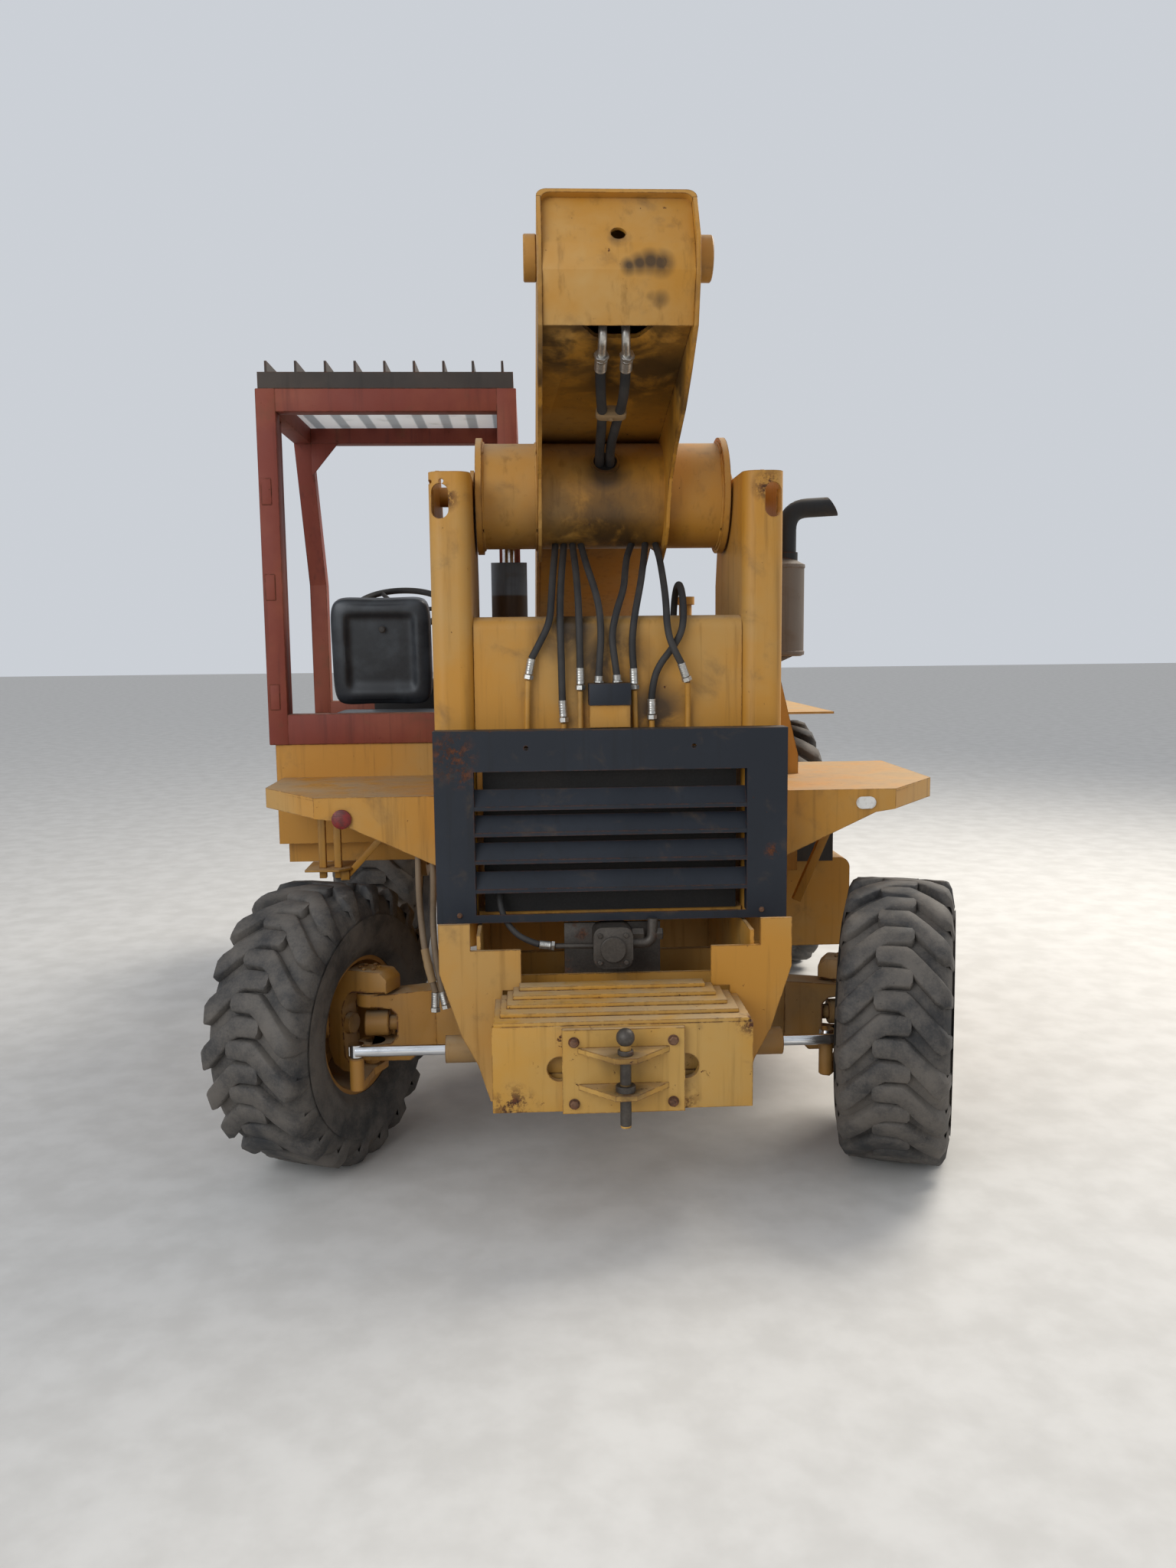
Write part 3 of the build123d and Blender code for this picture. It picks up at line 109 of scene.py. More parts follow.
class Nodes:
    """Short calls for the nodes of one tree, a material's or a shared group's."""

    def __init__(self, tree):
        self.tree = tree
        outputs = tree.nodes.new("ShaderNodeTexCoord").outputs
        self.place, self.normal = outputs["Object"], outputs["Normal"]

    def fit(self, node, inputs):
        for key, value in inputs.items():
            if isinstance(value, bpy.types.NodeSocket):
                self.tree.links.new(value, node.inputs[key])
            elif isinstance(value, tuple) and node.inputs[key].type == "RGBA":
                node.inputs[key].default_value = (*value, 1)
            else:
                node.inputs[key].default_value = value
        return node

    def node(self, kind, inputs=None, **settings):
        made = self.tree.nodes.new("ShaderNode" + kind)
        for key, value in settings.items():
            setattr(made, key, value)
        return self.fit(made, inputs or {})

    def shared(self, name, **inputs):
        """One of the shared groups; its inputs are named in words with underscores."""
        made = self.node("Group", node_tree=bpy.data.node_groups[name])
        self.fit(made, {key.replace("_", " "): value for key, value in inputs.items()})
        return made.outputs

    def noise(self, scale, detail=4.0, rough=0.55, stretch=(1, 1, 1), distort=0.0):
        """Noise in metres, stretched by a scale on each axis."""
        place = self.node("Mapping", {"Vector": self.place, "Scale": stretch})
        made = self.node("TexNoise", {"Vector": place.outputs[0], "Scale": scale, "Detail": detail,
                                      "Roughness": rough, "Distortion": distort})
        return made.outputs["Fac"]

    def ramp(self, value, low, high):
        made = self.node("MapRange", {0: value, 1: low, 2: high, 3: 0.0, 4: 1.0})
        made.interpolation_type = "SMOOTHSTEP"
        return made.outputs[0]

    def math(self, kind, a, b=0.0, c=0.0):
        return self.node("Math", {0: a, 1: b, 2: c}, operation=kind).outputs[0]

    def times(self, a, b):
        return self.math("MULTIPLY", a, b)

    def line(self, value, slope, start):
        """Start plus slope times the value."""
        return self.math("MULTIPLY_ADD", value, slope, start)

    def most(self, a, b):
        return self.math("MAXIMUM", a, b)

    def above(self, value, start, width):
        """0 below a start that may itself change over the surface, 1 past its width."""
        return self.ramp(value, start, self.math("ADD", start, width))

    def mix(self, factor, a, b):
        return self.node("Mix", {0: factor, 6: a, 7: b}, data_type="RGBA").outputs[2]

    def bump(self, height, strength, distance):
        return self.node("Bump", {"Height": height, "Strength": strength, "Distance": distance}).outputs[0]

    def part(self, vector, axis):
        return self.node("SeparateXYZ", {0: vector}).outputs[axis]

    def along(self, axis, low, high):
        """0 to 1 between two places on an axis of the object's frame."""
        return self.ramp(self.part(self.place, axis), low, high)

    def spots(self, spots):
        """1 inside any of the round spots (x, y, z, radius), fading out at their edge."""
        total = 0.0
        for x, y, z, radius in spots:
            total = self.most(self.shared("spot", Centre=(x, y, z), Radius=radius)["Mask"], total)
        return total


def share(name, inputs, outputs, make):
    """A node group with named inputs and outputs, built once for all the materials."""
    tree = bpy.data.node_groups.new(name, "ShaderNodeTree")
    for title, kind, value in inputs:
        socket = tree.interface.new_socket(title, in_out="INPUT", socket_type="NodeSocket" + kind)
        socket.default_value = value
    for title in outputs:
        kind = "NodeSocketColor" if title == "Colour" else "NodeSocketFloat"
        tree.interface.new_socket(title, in_out="OUTPUT", socket_type=kind)
    nodes = Nodes(tree)
    results = make(nodes, tree.nodes.new("NodeGroupInput").outputs)
    nodes.fit(tree.nodes.new("NodeGroupOutput"), dict(zip(outputs, results)))


def spot(nodes, given):
    away = nodes.node("VectorMath", {0: nodes.place, 1: given["Centre"]}, operation="DISTANCE")
    core = nodes.times(given["Radius"], 0.3)
    fade = nodes.node("MapRange", {0: away.outputs["Value"], 1: given["Radius"], 2: core, 3: 0.0, 4: 1.0})
    return [fade.outputs[0]]


def edge_wear(nodes, given):
    """1 on sharp edges."""
    soft = nodes.node("Bevel", {"Radius": given["Radius"]}, samples=4).outputs[0]
    hard = nodes.node("NewGeometry").outputs["Normal"]
    dot = nodes.node("VectorMath", {0: soft, 1: hard}, operation="DOT_PRODUCT")
    return [nodes.ramp(dot.outputs["Value"], 0.995, 0.85)]


def old_paint(nodes, given):
    """Faded patches, run marks, dust on tops, oil, given spots of oil and of painted shade, and chips down to
    rust.
    """
    near_black, grime_brown, dust, oil_black = ((0.004, 0.003, 0.002), (0.10, 0.062, 0.030), (0.36, 0.27, 0.17),
                                          (0.022, 0.014, 0.009))
    light_rust, dark_rust = (0.115, 0.036, 0.012), (0.045, 0.018, 0.010)
    patch = nodes.noise(1.9, 5, 0.6)
    grime = nodes.noise(7.5, 8, 0.62, distort=0.4)
    runs = nodes.noise(1.0, 6, 0.6, stretch=(34, 34, 1.7))
    fine = nodes.noise(85, 3)
    chips = nodes.noise(31, 9, 0.72)
    rust, oil = given["Rust"], given["Oil"]
    tone = nodes.mix(nodes.ramp(patch, 0.38, 0.66), given["Colour"], given["Faded"])
    dark = nodes.mix(0.58, given["Colour"], near_black)
    tone = nodes.mix(nodes.times(nodes.ramp(runs, 0.52, 0.72), 0.45), tone, dark)
    tone = nodes.mix(nodes.times(nodes.ramp(grime, 0.55, 0.78), 0.5), tone, grime_brown)
    top = nodes.times(nodes.ramp(nodes.part(nodes.normal, 2), 0.55, 0.95), nodes.ramp(grime, 0.28, 0.62))
    top = nodes.times(top, given["Dust"])
    tone = nodes.mix(top, tone, dust)
    wet = nodes.line(nodes.noise(4.2, 7, 0.66), 0.8, nodes.times(runs, 0.3))
    oil_and_shade = nodes.above(wet, nodes.line(oil, -0.16, 0.80), 0.12)
    oil_and_shade = nodes.times(oil_and_shade, nodes.ramp(oil, 0.0, 0.05))
    # the given spots: oil stains in some places, painted shade in others
    oil_and_shade = nodes.most(oil_and_shade, nodes.times(given["Oil Here"], nodes.ramp(grime, 0.30, 0.55)))
    tone = nodes.mix(nodes.times(oil_and_shade, 0.88), tone, oil_black)
    chipped = nodes.above(chips, nodes.line(rust, -0.06, 0.70), 0.02)
    edge = nodes.shared("edge wear", Radius=0.006)["Mask"]
    bare = nodes.ramp(nodes.line(patch, 0.3, chips), 0.56, 0.66)
    worn = nodes.times(nodes.times(edge, bare), nodes.math("MINIMUM", nodes.times(rust, 1.6), 1.0))
    chipped = nodes.most(chipped, worn)
    chipped = nodes.most(chipped, nodes.times(given["Rust Here"], nodes.ramp(chips, 0.45, 0.56)))
    tone = nodes.mix(chipped, tone, nodes.mix(nodes.ramp(fine, 0.35, 0.65), light_rust, dark_rust))
    rough = nodes.line(grime, 0.30, nodes.math("SUBTRACT", given["Roughness"], 0.10))
    rough = nodes.line(nodes.most(chipped, top), 0.35, rough)
    rough = nodes.line(oil_and_shade, -0.18, rough)
    height = nodes.line(chipped, -0.8, nodes.times(fine, 0.12))
    return [tone, rough, height]


def grimy_rubber(nodes, given):
    """Rubber or plastic with dust rubbed in and fine cracks."""
    colour, dusty, cracks = given["Colour"], given["Dusty"], given["Cracks"]
    patch = nodes.noise(5, 6, 0.65)
    grain = nodes.noise(160, 4, 0.7)
    pits = nodes.noise(46, 8, 0.75)
    tone = nodes.mix(nodes.ramp(patch, 0.32, 0.70), colour, nodes.mix(0.35, colour, dusty))
    dust = nodes.ramp(nodes.line(grain, 0.25, patch), 0.45, 0.80)
    tone = nodes.mix(nodes.times(dust, given["Dust"]), tone, dusty)
    tone = nodes.mix(nodes.times(nodes.ramp(pits, 0.60, 0.68), cracks), tone, (0.012, 0.011, 0.010))
    return [tone, nodes.line(grain, 0.35, 0.55), nodes.line(pits, cracks, nodes.times(grain, 0.4))]


def worn_steel(nodes, given):
    """Bare metal with rust patches and oil."""
    light_rust, dark_rust, oil_black = (0.13, 0.045, 0.016), (0.06, 0.024, 0.012), (0.02, 0.014, 0.010)
    patch = nodes.noise(11, 7, 0.65)
    fine = nodes.noise(140, 4)
    dull = nodes.mix(0.28, given["Colour"], (0.01, 0.01, 0.01))
    tone = nodes.mix(nodes.ramp(fine, 0.3, 0.7), given["Colour"], dull)
    rusted = nodes.above(patch, nodes.line(given["Rust"], -0.3, 0.66), 0.14)
    rusted = nodes.times(rusted, nodes.ramp(given["Rust"], 0.0, 0.05))
    tone = nodes.mix(rusted, tone, nodes.mix(nodes.ramp(fine, 0.4, 0.6), light_rust, dark_rust))
    wet = nodes.ramp(nodes.noise(6, 5), nodes.line(given["Oil"], -0.2, 0.62), 0.80)
    tone = nodes.mix(nodes.times(wet, 0.7), tone, oil_black)
    rough = nodes.line(rusted, 0.4, given["Roughness"])
    height = nodes.line(rusted, 0.5, nodes.times(fine, 0.3))
    return [tone, rough, height, nodes.times(nodes.math("SUBTRACT", 1.0, rusted), given["Metal"])]


def make_shared_groups():
    def floats(**values):
        return [(title.replace("_", " "), "Float", value) for title, value in values.items()]

    colour, brown = ("Colour", "Color", (0.02, 0.02, 0.02, 1)), (0.2, 0.15, 0.1, 1)
    look = ("Colour", "Roughness", "Height")
    share("spot", [("Centre", "Vector", (0, 0, 0)), *floats(Radius=0.1)], ("Mask",), spot)
    share("edge wear", floats(Radius=0.006), ("Mask",), edge_wear)
    share("old paint", [colour, ("Faded", "Color", brown), *floats(
        Rust=0.5, Oil=0.4, Dust=0.6, Roughness=0.48, Oil_Here=0.0, Rust_Here=0.0)], look, old_paint)
    share("grimy rubber", [colour, ("Dusty", "Color", brown), *floats(Dust=0.6, Cracks=0.6)], look,
          grimy_rubber)
    share("worn steel", [colour, *floats(Rust=0.4, Oil=0.3, Roughness=0.4, Metal=0.9)], look + ("Metallic",),
          worn_steel)


# Materials


def new_material(name):
    material = bpy.data.materials.new(name)
    material.use_nodes = True
    return material, Nodes(material.node_tree), material.node_tree.nodes["Principled BSDF"]


def finish(nodes, shader, look, strength, distance):
    """Join a shared group's outputs to a material's shader."""
    nodes.fit(shader, {"Base Color": look["Colour"], "Roughness": look["Roughness"],
                       "Normal": nodes.bump(look["Height"], strength, distance)})


def painted(name, colour, faded, rust=0.5, oil=0.4, dust=0.6, rough=0.48, oil_and_shade_spots=(), rust_spots=(),
            below=None):
    """Old machine paint; below is (axis, low, high, colour) for a part that changes colour along an axis."""
    material, nodes, shader = new_material(name)
    if below:
        axis, low, high, other = below
        change = nodes.along(axis, low, high)
        colour, faded = nodes.mix(change, other, colour), nodes.mix(change, other, faded)
    look = nodes.shared("old paint", Colour=colour, Faded=faded, Rust=rust, Oil=oil, Dust=dust,
                        Roughness=rough, Oil_Here=nodes.spots(oil_and_shade_spots), Rust_Here=nodes.spots(rust_spots))
    finish(nodes, shader, look, 0.55, 0.0015)
    shader.inputs["Specular IOR Level"].default_value = 0.4
    return material


def rubber(name, colour, dusty, dust=0.6, cracks=0.6):
    material, nodes, shader = new_material(name)
    look = nodes.shared("grimy rubber", Colour=colour, Dusty=dusty, Dust=dust, Cracks=cracks)
    finish(nodes, shader, look, 0.5, 0.003 if cracks else 0.0008)
    return material


def steel(name, colour, rough=0.42, rust=0.4, metal=0.9, oil=0.3):
    material, nodes, shader = new_material(name)
    look = nodes.shared("worn steel", Colour=colour, Rust=rust, Oil=oil, Roughness=rough, Metal=metal)
    finish(nodes, shader, look, 0.4, 0.001)
    nodes.fit(shader, {"Metallic": look["Metallic"]})
    return material


def chrome():
    """The rods' plating: bright, with a light haze and a few scratches."""
    material, nodes, shader = new_material("chrome_rod")
    haze = nodes.noise(60, 5, stretch=(0.2, 1, 1))
    tone = nodes.mix(nodes.ramp(haze, 0.4, 0.8), (0.80, 0.81, 0.83), (0.52, 0.52, 0.52))
    nodes.fit(shader, {"Base Color": tone, "Roughness": nodes.line(haze, 0.2, 0.05), "Metallic": 1.0})
    return material


def seat_vinyl():
    """Black vinyl with a fine grain, greyer where it is worn."""
    material, nodes, shader = new_material("seat_vinyl")
    grain = nodes.node("TexVoronoi", {"Vector": nodes.place, "Scale": 420.0}).outputs["Distance"]
    wear = nodes.noise(6, 6, 0.6)
    tone = nodes.mix(nodes.ramp(wear, 0.45, 0.75), (0.010, 0.012, 0.015), (0.034, 0.040, 0.047))
    nodes.fit(shader, {"Base Color": tone, "Roughness": nodes.line(wear, -0.5, 0.72),
                       "Normal": nodes.bump(nodes.line(wear, 2.0, grain), 0.35, 0.0006)})
    return material


def skylight_sheet():
    """The cab's pale roof sheet, with painted shadows of the guard's slats and a painted glow of light coming
    through it.
    """
    pitch, first = 0.1035, 1.155
    material, nodes, shader = new_material("skylight_sheet")
    # painted shadows of the guard's slats, one dark stripe under each slat
    step = nodes.math("FRACT", nodes.line(nodes.part(nodes.place, 0), 1 / pitch, first / pitch))
    slat_shadow = nodes.math("SUBTRACT", nodes.ramp(step, 0.52, 0.62), nodes.ramp(step, 0.90, 0.99))
    dirt = nodes.noise(9, 6)
    tone = nodes.mix(slat_shadow, (0.72, 0.76, 0.79), (0.30, 0.34, 0.37))
    tone = nodes.mix(nodes.times(nodes.ramp(dirt, 0.5, 0.8), 0.5), tone, (0.22, 0.20, 0.16))
    # the emission paints a glow of daylight coming through the sheet
    nodes.fit(shader, {"Base Color": tone, "Roughness": nodes.line(dirt, 0.4, 0.3), "Emission Color": tone,
                       "Emission Strength": 0.35})
    return material


def lamp_faces():
    """Red reflector on the left, bare pale plate on the right."""
    material, nodes, shader = new_material("lamp_faces")
    dirt = nodes.noise(40, 5)
    old = nodes.ramp(dirt, 0.4, 0.7)
    red = nodes.mix(old, (0.20, 0.012, 0.010), (0.08, 0.014, 0.010))
    pale = nodes.mix(old, (0.72, 0.70, 0.66), (0.40, 0.36, 0.30))
    ribs = nodes.node("TexWave", {"Vector": nodes.place, "Scale": 60.0}, bands_direction="Z")
    nodes.fit(shader, {"Base Color": nodes.mix(nodes.along(0, -0.1, 0.1), red, pale),
                       "Roughness": nodes.line(dirt, 0.5, 0.2),
                       "Normal": nodes.bump(ribs.outputs["Fac"], 0.3, 0.001)})
    return material


def make_materials():
    ochre, tan = (0.47, 0.215, 0.026), (0.44, 0.245, 0.066)
    navy = (0.0075, 0.0105, 0.017)
    up = 2
    return {
        "yellow": painted("yellow_paint", ochre, tan),
        "tower": painted("yellow_tower", ochre, tan, rust=0.35, oil=0.15, dust=0.5,
                         rust_spots=[(-0.49, -2.06, 2.10, 0.05), (0.49, -2.06, 2.13, 0.06)]),
        "cross": painted("yellow_cross", ochre, tan, rust=0.35, oil=0.6, oil_and_shade_spots=[
            (0.0, -2.03, 1.60, 0.16), (-0.12, -2.03, 1.72, 0.14), (0.15, -2.03, 1.45, 0.12)]),
        # the first three spots darken the tail's underside: oil stains together with painted shade under the
        # tail; the last is oil round the tube's hole
        "boom": painted("yellow_boom", ochre, tan, rust=0.45, oil=0.85, oil_and_shade_spots=[
            (0.0, -2.45, 2.48, 0.34), (0.08, -2.2, 2.38, 0.36), (-0.12, -2.35, 2.42, 0.30),
            (0.01, -1.86, 2.24, 0.12)]),
        # the first spot is oil round the tube's hole; the second darkens the tube's lower half as painted
        # shade
        "tube": painted("yellow_tube", ochre, tan, rust=0.50, oil=0.55,
                        oil_and_shade_spots=[(0.01, -1.85, 2.20, 0.11), (0.0, -1.75, 2.0, 0.30)]),
        "cap": painted("yellow_cap", ochre, (0.50, 0.30, 0.10), rust=0.6, oil=0.1, dust=0.8, oil_and_shade_spots=[
            (0.025, -2.565, 2.617, 0.028), (0.052, -2.565, 2.624, 0.034), (0.080, -2.565, 2.629, 0.040),
            (0.108, -2.565, 2.625, 0.042), (0.085, -2.53, 2.556, 0.026), (0.108, -2.53, 2.549, 0.032),
            (0.0, -2.56, 2.697, 0.035)]),
        "weight": painted("yellow_weight", (0.47, 0.235, 0.032), (0.45, 0.265, 0.072), rust=0.95, oil=0.3,
                          rust_spots=[(0.14, -2.507, 0.364, 0.09), (-0.31, -2.507, 0.37, 0.08),
                                      (0.36, -2.507, 0.60, 0.05)]),
        "hitch": painted("yellow_hitch", (0.50, 0.25, 0.034), (0.46, 0.27, 0.07), rust=1.0, oil=0.4,
                         oil_and_shade_spots=[(0.0, -2.59, 0.50, 0.10), (0.0, -2.59, 0.43, 0.08)]),
        "navy": painted("navy_paint", navy, (0.013, 0.017, 0.025), rust=0.40, oil=0.0, dust=0.20, rough=0.50,
                        rust_spots=[(-0.486, -2.134, 1.328, 0.09), (-0.46, -2.134, 1.27, 0.05),
                                    (0.494, -2.134, 1.022, 0.03)]),
        "red": painted("red_oxide", (0.175, 0.030, 0.016), (0.235, 0.058, 0.028), rust=0.6, oil=0.2, dust=0.3,
                       rough=0.6),
        "dark": painted("dark_steel", (0.030, 0.027, 0.024), (0.055, 0.047, 0.040), oil=0.3, rough=0.55),
        "guard": painted("guard_steel", (0.034, 0.026, 0.021), (0.060, 0.042, 0.030), rust=0.8, oil=0.1,
                         rough=0.6),
        "axle": painted("yellow_axle", (0.36, 0.17, 0.030), (0.30, 0.18, 0.07), rust=0.7, oil=0.75, dust=0.9),
        "rim": painted("yellow_rim", (0.34, 0.16, 0.030), (0.26, 0.14, 0.05), rust=1.0, oil=0.9, dust=0.9,
                       rough=0.6),
        "exhaust": painted("exhaust_steel", (0.150, 0.120, 0.095), (0.115, 0.070, 0.040), rust=0.9, oil=0.3,
                           dust=0.2, rough=0.6, below=(up, 1.955, 1.94, (0.014, 0.014, 0.015))),
        "level": painted("levelling_barrel", (0.095, 0.055, 0.028), (0.13, 0.08, 0.04), oil=0.8, dust=0.3,
                         below=(up, 1.835, 1.825, (0.20, 0.23, 0.26))),
        "tyre": rubber("tyre_rubber", (0.020, 0.020, 0.021), (0.130, 0.112, 0.094), dust=0.75),
        "hose": rubber("hose_rubber", (0.010, 0.010, 0.011), (0.060, 0.052, 0.045), dust=0.30, cracks=0.0),
        "tan_hose": rubber("hose_dusty", (0.10, 0.065, 0.035), (0.20, 0.14, 0.085), dust=0.7, cracks=0.0),
        "plastic": rubber("dark_plastic", (0.014, 0.014, 0.015), (0.06, 0.05, 0.04), dust=0.2, cracks=0.0),
        "strap": rubber("dusty_strap", (0.20, 0.12, 0.050), (0.30, 0.20, 0.10), dust=0.5, cracks=0.3),
        "chrome": chrome(),
        "zinc": steel("zinc_fitting", (0.60, 0.58, 0.54), rough=0.34, rust=0.20),
        "rusty": steel("rusty_steel", (0.20, 0.105, 0.060), rough=0.6, rust=0.8, metal=0.5),
        "iron": steel("oily_iron", (0.085, 0.072, 0.060), rough=0.5, rust=0.35, metal=0.5, oil=0.8),
        "seat": seat_vinyl(),
        # near black: the radiator's own colour, and painted shade in the tube's hole
        "near_black": rubber("near_black", (0.006, 0.005, 0.004), (0.02, 0.014, 0.01), dust=0.2, cracks=0.0),
        "clear": skylight_sheet(),
        "lens": lamp_faces(),
    }


# the nodes that show and aren't plain yellow
FINISH = {
    "grille": "navy", "roof_guard": "guard", "console": "plastic", "engine_block": "iron", "gearbox": "iron",
    "radiator": "near_black", "steer_rod": "chrome", "lift_rod": "chrome", "tilt_rod": "chrome",
    "level_rod": "chrome", "level_barrel": "level", "battery_box": "dark", "forks": "dark",
    "steering_cylinder": "axle", "front_axle": "axle", "tow_hitch": "hitch", "pivot_tube": "tube",
    "towers": "tower", "cross_member": "cross",
}


def dress_nodes():
    for name, obj in NODES.items():
        obj.data.materials.clear()
        obj.data.materials.append(MATS[FINISH.get(name, "yellow")])


# Mesh helpers


def add_piece(name, bm, look, body="chassis", smooth=35):
    """Turn a bmesh into a piece that rides on a body."""
    mesh = bpy.data.meshes.new(name)
    bmesh.ops.recalc_face_normals(bm, faces=bm.faces)
    bm.to_mesh(mesh)
    bm.free()
    obj = link(name, mesh)
    mesh.materials.append(MATS[look])
    mesh.polygons.foreach_set("use_smooth", [True] * len(mesh.polygons))
    mesh.set_sharp_from_angle(angle=math.radians(smooth))
    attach(obj, body)
    return obj


def stand_in(name, bm, look, node, body="chassis", smooth=35):
    """A piece that stands for a node."""
    obj = add_piece(name, bm, look, body, smooth)
    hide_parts(node)
    return obj


def skin(bm, rows, closed_rows=False, closed_ring=False, ends=False):
    """Faces between rows of points that have the same count."""
    made = [[bm.verts.new(p) for p in row] for row in rows]
    count = len(rows[0])
    for i in range(len(made) if closed_rows else len(made) - 1):
        a, b = made[i], made[(i + 1) % len(made)]
        for j in range(count if closed_ring else count - 1):
            k = (j + 1) % count
            bm.faces.new((a[j], a[k], b[k], b[j]))
    if ends:
        bm.faces.new(made[0])
        bm.faces.new(made[-1])
    return made


def heading(points, i):
    """The way along a line at one of its points."""
    return (points[min(i + 1, len(points) - 1)] - points[max(i - 1, 0)]).normalized()


def around(way, steps):
    """Unit vectors round a direction."""
    side = way.orthogonal().normalized()
    return [Matrix.Rotation(TURN * i / steps, 3, way) @ side for i in range(steps)]


def spin(bm, profile, origin, axis, steps=64, closed=False):
    """Revolve (along, radius) points about an axis."""
    axis = Vector(axis).normalized()
    turns = around(axis, steps)
    rows = [[Vector(origin) + axis * along + out * radius for out in turns] for along, radius in profile]
    return skin(bm, rows, closed_rows=closed, closed_ring=True, ends=not closed)


def tube_along(bm, points, radius_at, steps):
    """A tube along a line, its radius given point by point."""
    rows = []
    for i, point in enumerate(points):
        r = radius_at(i, point)
        rows.append([point + out * r for out in around(heading(points, i), steps)])
    skin(bm, rows, closed_ring=True, ends=True)


def bolt(bm, place, way, across, washer=True):
    """A worn hexagon head standing on a washer."""
    r = across / 2
    base = r * 0.2 if washer else 0.0
    if washer:
        spin(bm, [(-0.001, r * 1.3), (r * 0.16, r * 1.3), (r * 0.2, r * 1.25)], place, way, steps=20)
    spin(bm, [(base, r * 1.1), (base + r * 0.75, r * 1.1), (base + r * 0.95, r * 0.85)], place, way, steps=6)


# Places and forms in millimetres, y from the rear axle


def at(x, y, z):
    return Vector((x / 1000, y / 1000 + AXLE_Y, z / 1000))


def boom_at(x, u, v):
    """A place on the boom: across it, along it from the pivot and square to it."""
    x, u, v = x / 1000, u / 1000, v / 1000
    ahead = u * math.cos(SLOPE) + v * math.sin(SLOPE)
    up = -u * math.sin(SLOPE) + v * math.cos(SLOPE)
    return PIVOT + Vector((x, ahead, up))


def prism(bm, near, far, edge=0.0015):
    """A plate or block between two like outlines, with its edges broken."""
    solid = bmesh.new()
    skin(solid, [near, far], closed_ring=True, ends=True)
    if edge:
        bmesh.ops.bevel(solid, geom=solid.edges[:], offset=edge, segments=2, profile=0.5, affect="EDGES")
    join(bm, solid)


def join(bm, other):
    mesh = bpy.data.meshes.new("joined")
    other.to_mesh(mesh)
    other.free()
    bm.from_mesh(mesh)
    bpy.data.meshes.remove(mesh)


def cross_plate(bm, corners, y0, y1, edge=0.0015):
    prism(bm, [at(x, y0, z) for x, z in corners], [at(x, y1, z) for x, z in corners], edge)


def side_plate(bm, corners, x0, x1, edge=0.0015):
    prism(bm, [at(x0, y, z) for y, z in corners], [at(x1, y, z) for y, z in corners], edge)


def flat_plate(bm, corners, z0, z1, edge=0.0015):
    prism(bm, [at(x, y, z0) for x, y in corners], [at(x, y, z1) for x, y in corners], edge)


def boom_plate(bm, corners, x0, x1, edge=0.0015):
    prism(bm, [boom_at(x0, u, v) for u, v in corners], [boom_at(x1, u, v) for u, v in corners], edge)


def block(bm, x0, x1, y0, y1, z0, z1, edge=0.002):
    flat_plate(bm, [(x0, y0), (x1, y0), (x1, y1), (x0, y1)], z0, z1, edge)


def bar(bm, start, stop, radius, steps=40, edge=0.003):
    """A round bar between two places given as vectors."""
    length = (stop - start).length
    r = radius / 1000
    profile = [(0, r - edge), (edge, r), (length - edge, r), (length, r - edge)]
    spin(bm, profile, start, stop - start, steps=steps)


def upright(bm, x, y, z0, z1, radius, **settings):
    """A round bar standing up."""
    bar(bm, at(x, y, z0), at(x, y, z1), radius, **settings)


def level_bar(bm, y0, y1, x, z, radius, **settings):
    """A round bar lying along the machine."""
    bar(bm, at(x, y0, z), at(x, y1, z), radius, **settings)


def cross_bar(bm, x0, x1, y, z, radius, **settings):
    """A round bar lying across the machine."""
    bar(bm, at(x0, y, z), at(x1, y, z), radius, **settings)


def strut(bm, start, stop, wide, deep):
    """A flat bar between two places."""
    way = (stop - start).normalized()
    side = way.cross(Vector((0, 1, 0))).normalized() if abs(way.y) < 0.9 else Vector((1, 0, 0))
    over = way.cross(side).normalized()
    signs = ((-1, -1), (1, -1), (1, 1), (-1, 1))
    ring = [side * (a * wide / 2000) + over * (b * deep / 2000) for a, b in signs]
    prism(bm, [start + p for p in ring], [stop + p for p in ring])


def carve(bm, cutters):
    """Cut the cutters out of a mesh."""
    shapes = []
    for form in [bm] + cutters:
        bmesh.ops.recalc_face_normals(form, faces=form.faces)
        mesh = bpy.data.meshes.new("carve")
        form.to_mesh(mesh)
        form.free()
        shapes.append(link("carve", mesh))
    for cutter in shapes[1:]:
        step = shapes[0].modifiers.new("cut", "BOOLEAN")
        step.object = cutter
        step.solver = "EXACT"
    ready = shapes[0].evaluated_get(bpy.context.evaluated_depsgraph_get())
    mesh = bpy.data.meshes.new_from_object(ready)
    done = bmesh.new()
    done.from_mesh(mesh)
    for shape in shapes:
        bpy.data.objects.remove(shape)
    bpy.data.meshes.remove(mesh)
    return done


def round_cutter(start, stop, radius):
    cutter = bmesh.new()
    bar(cutter, start, stop, radius, edge=0.0001)
    return cutter


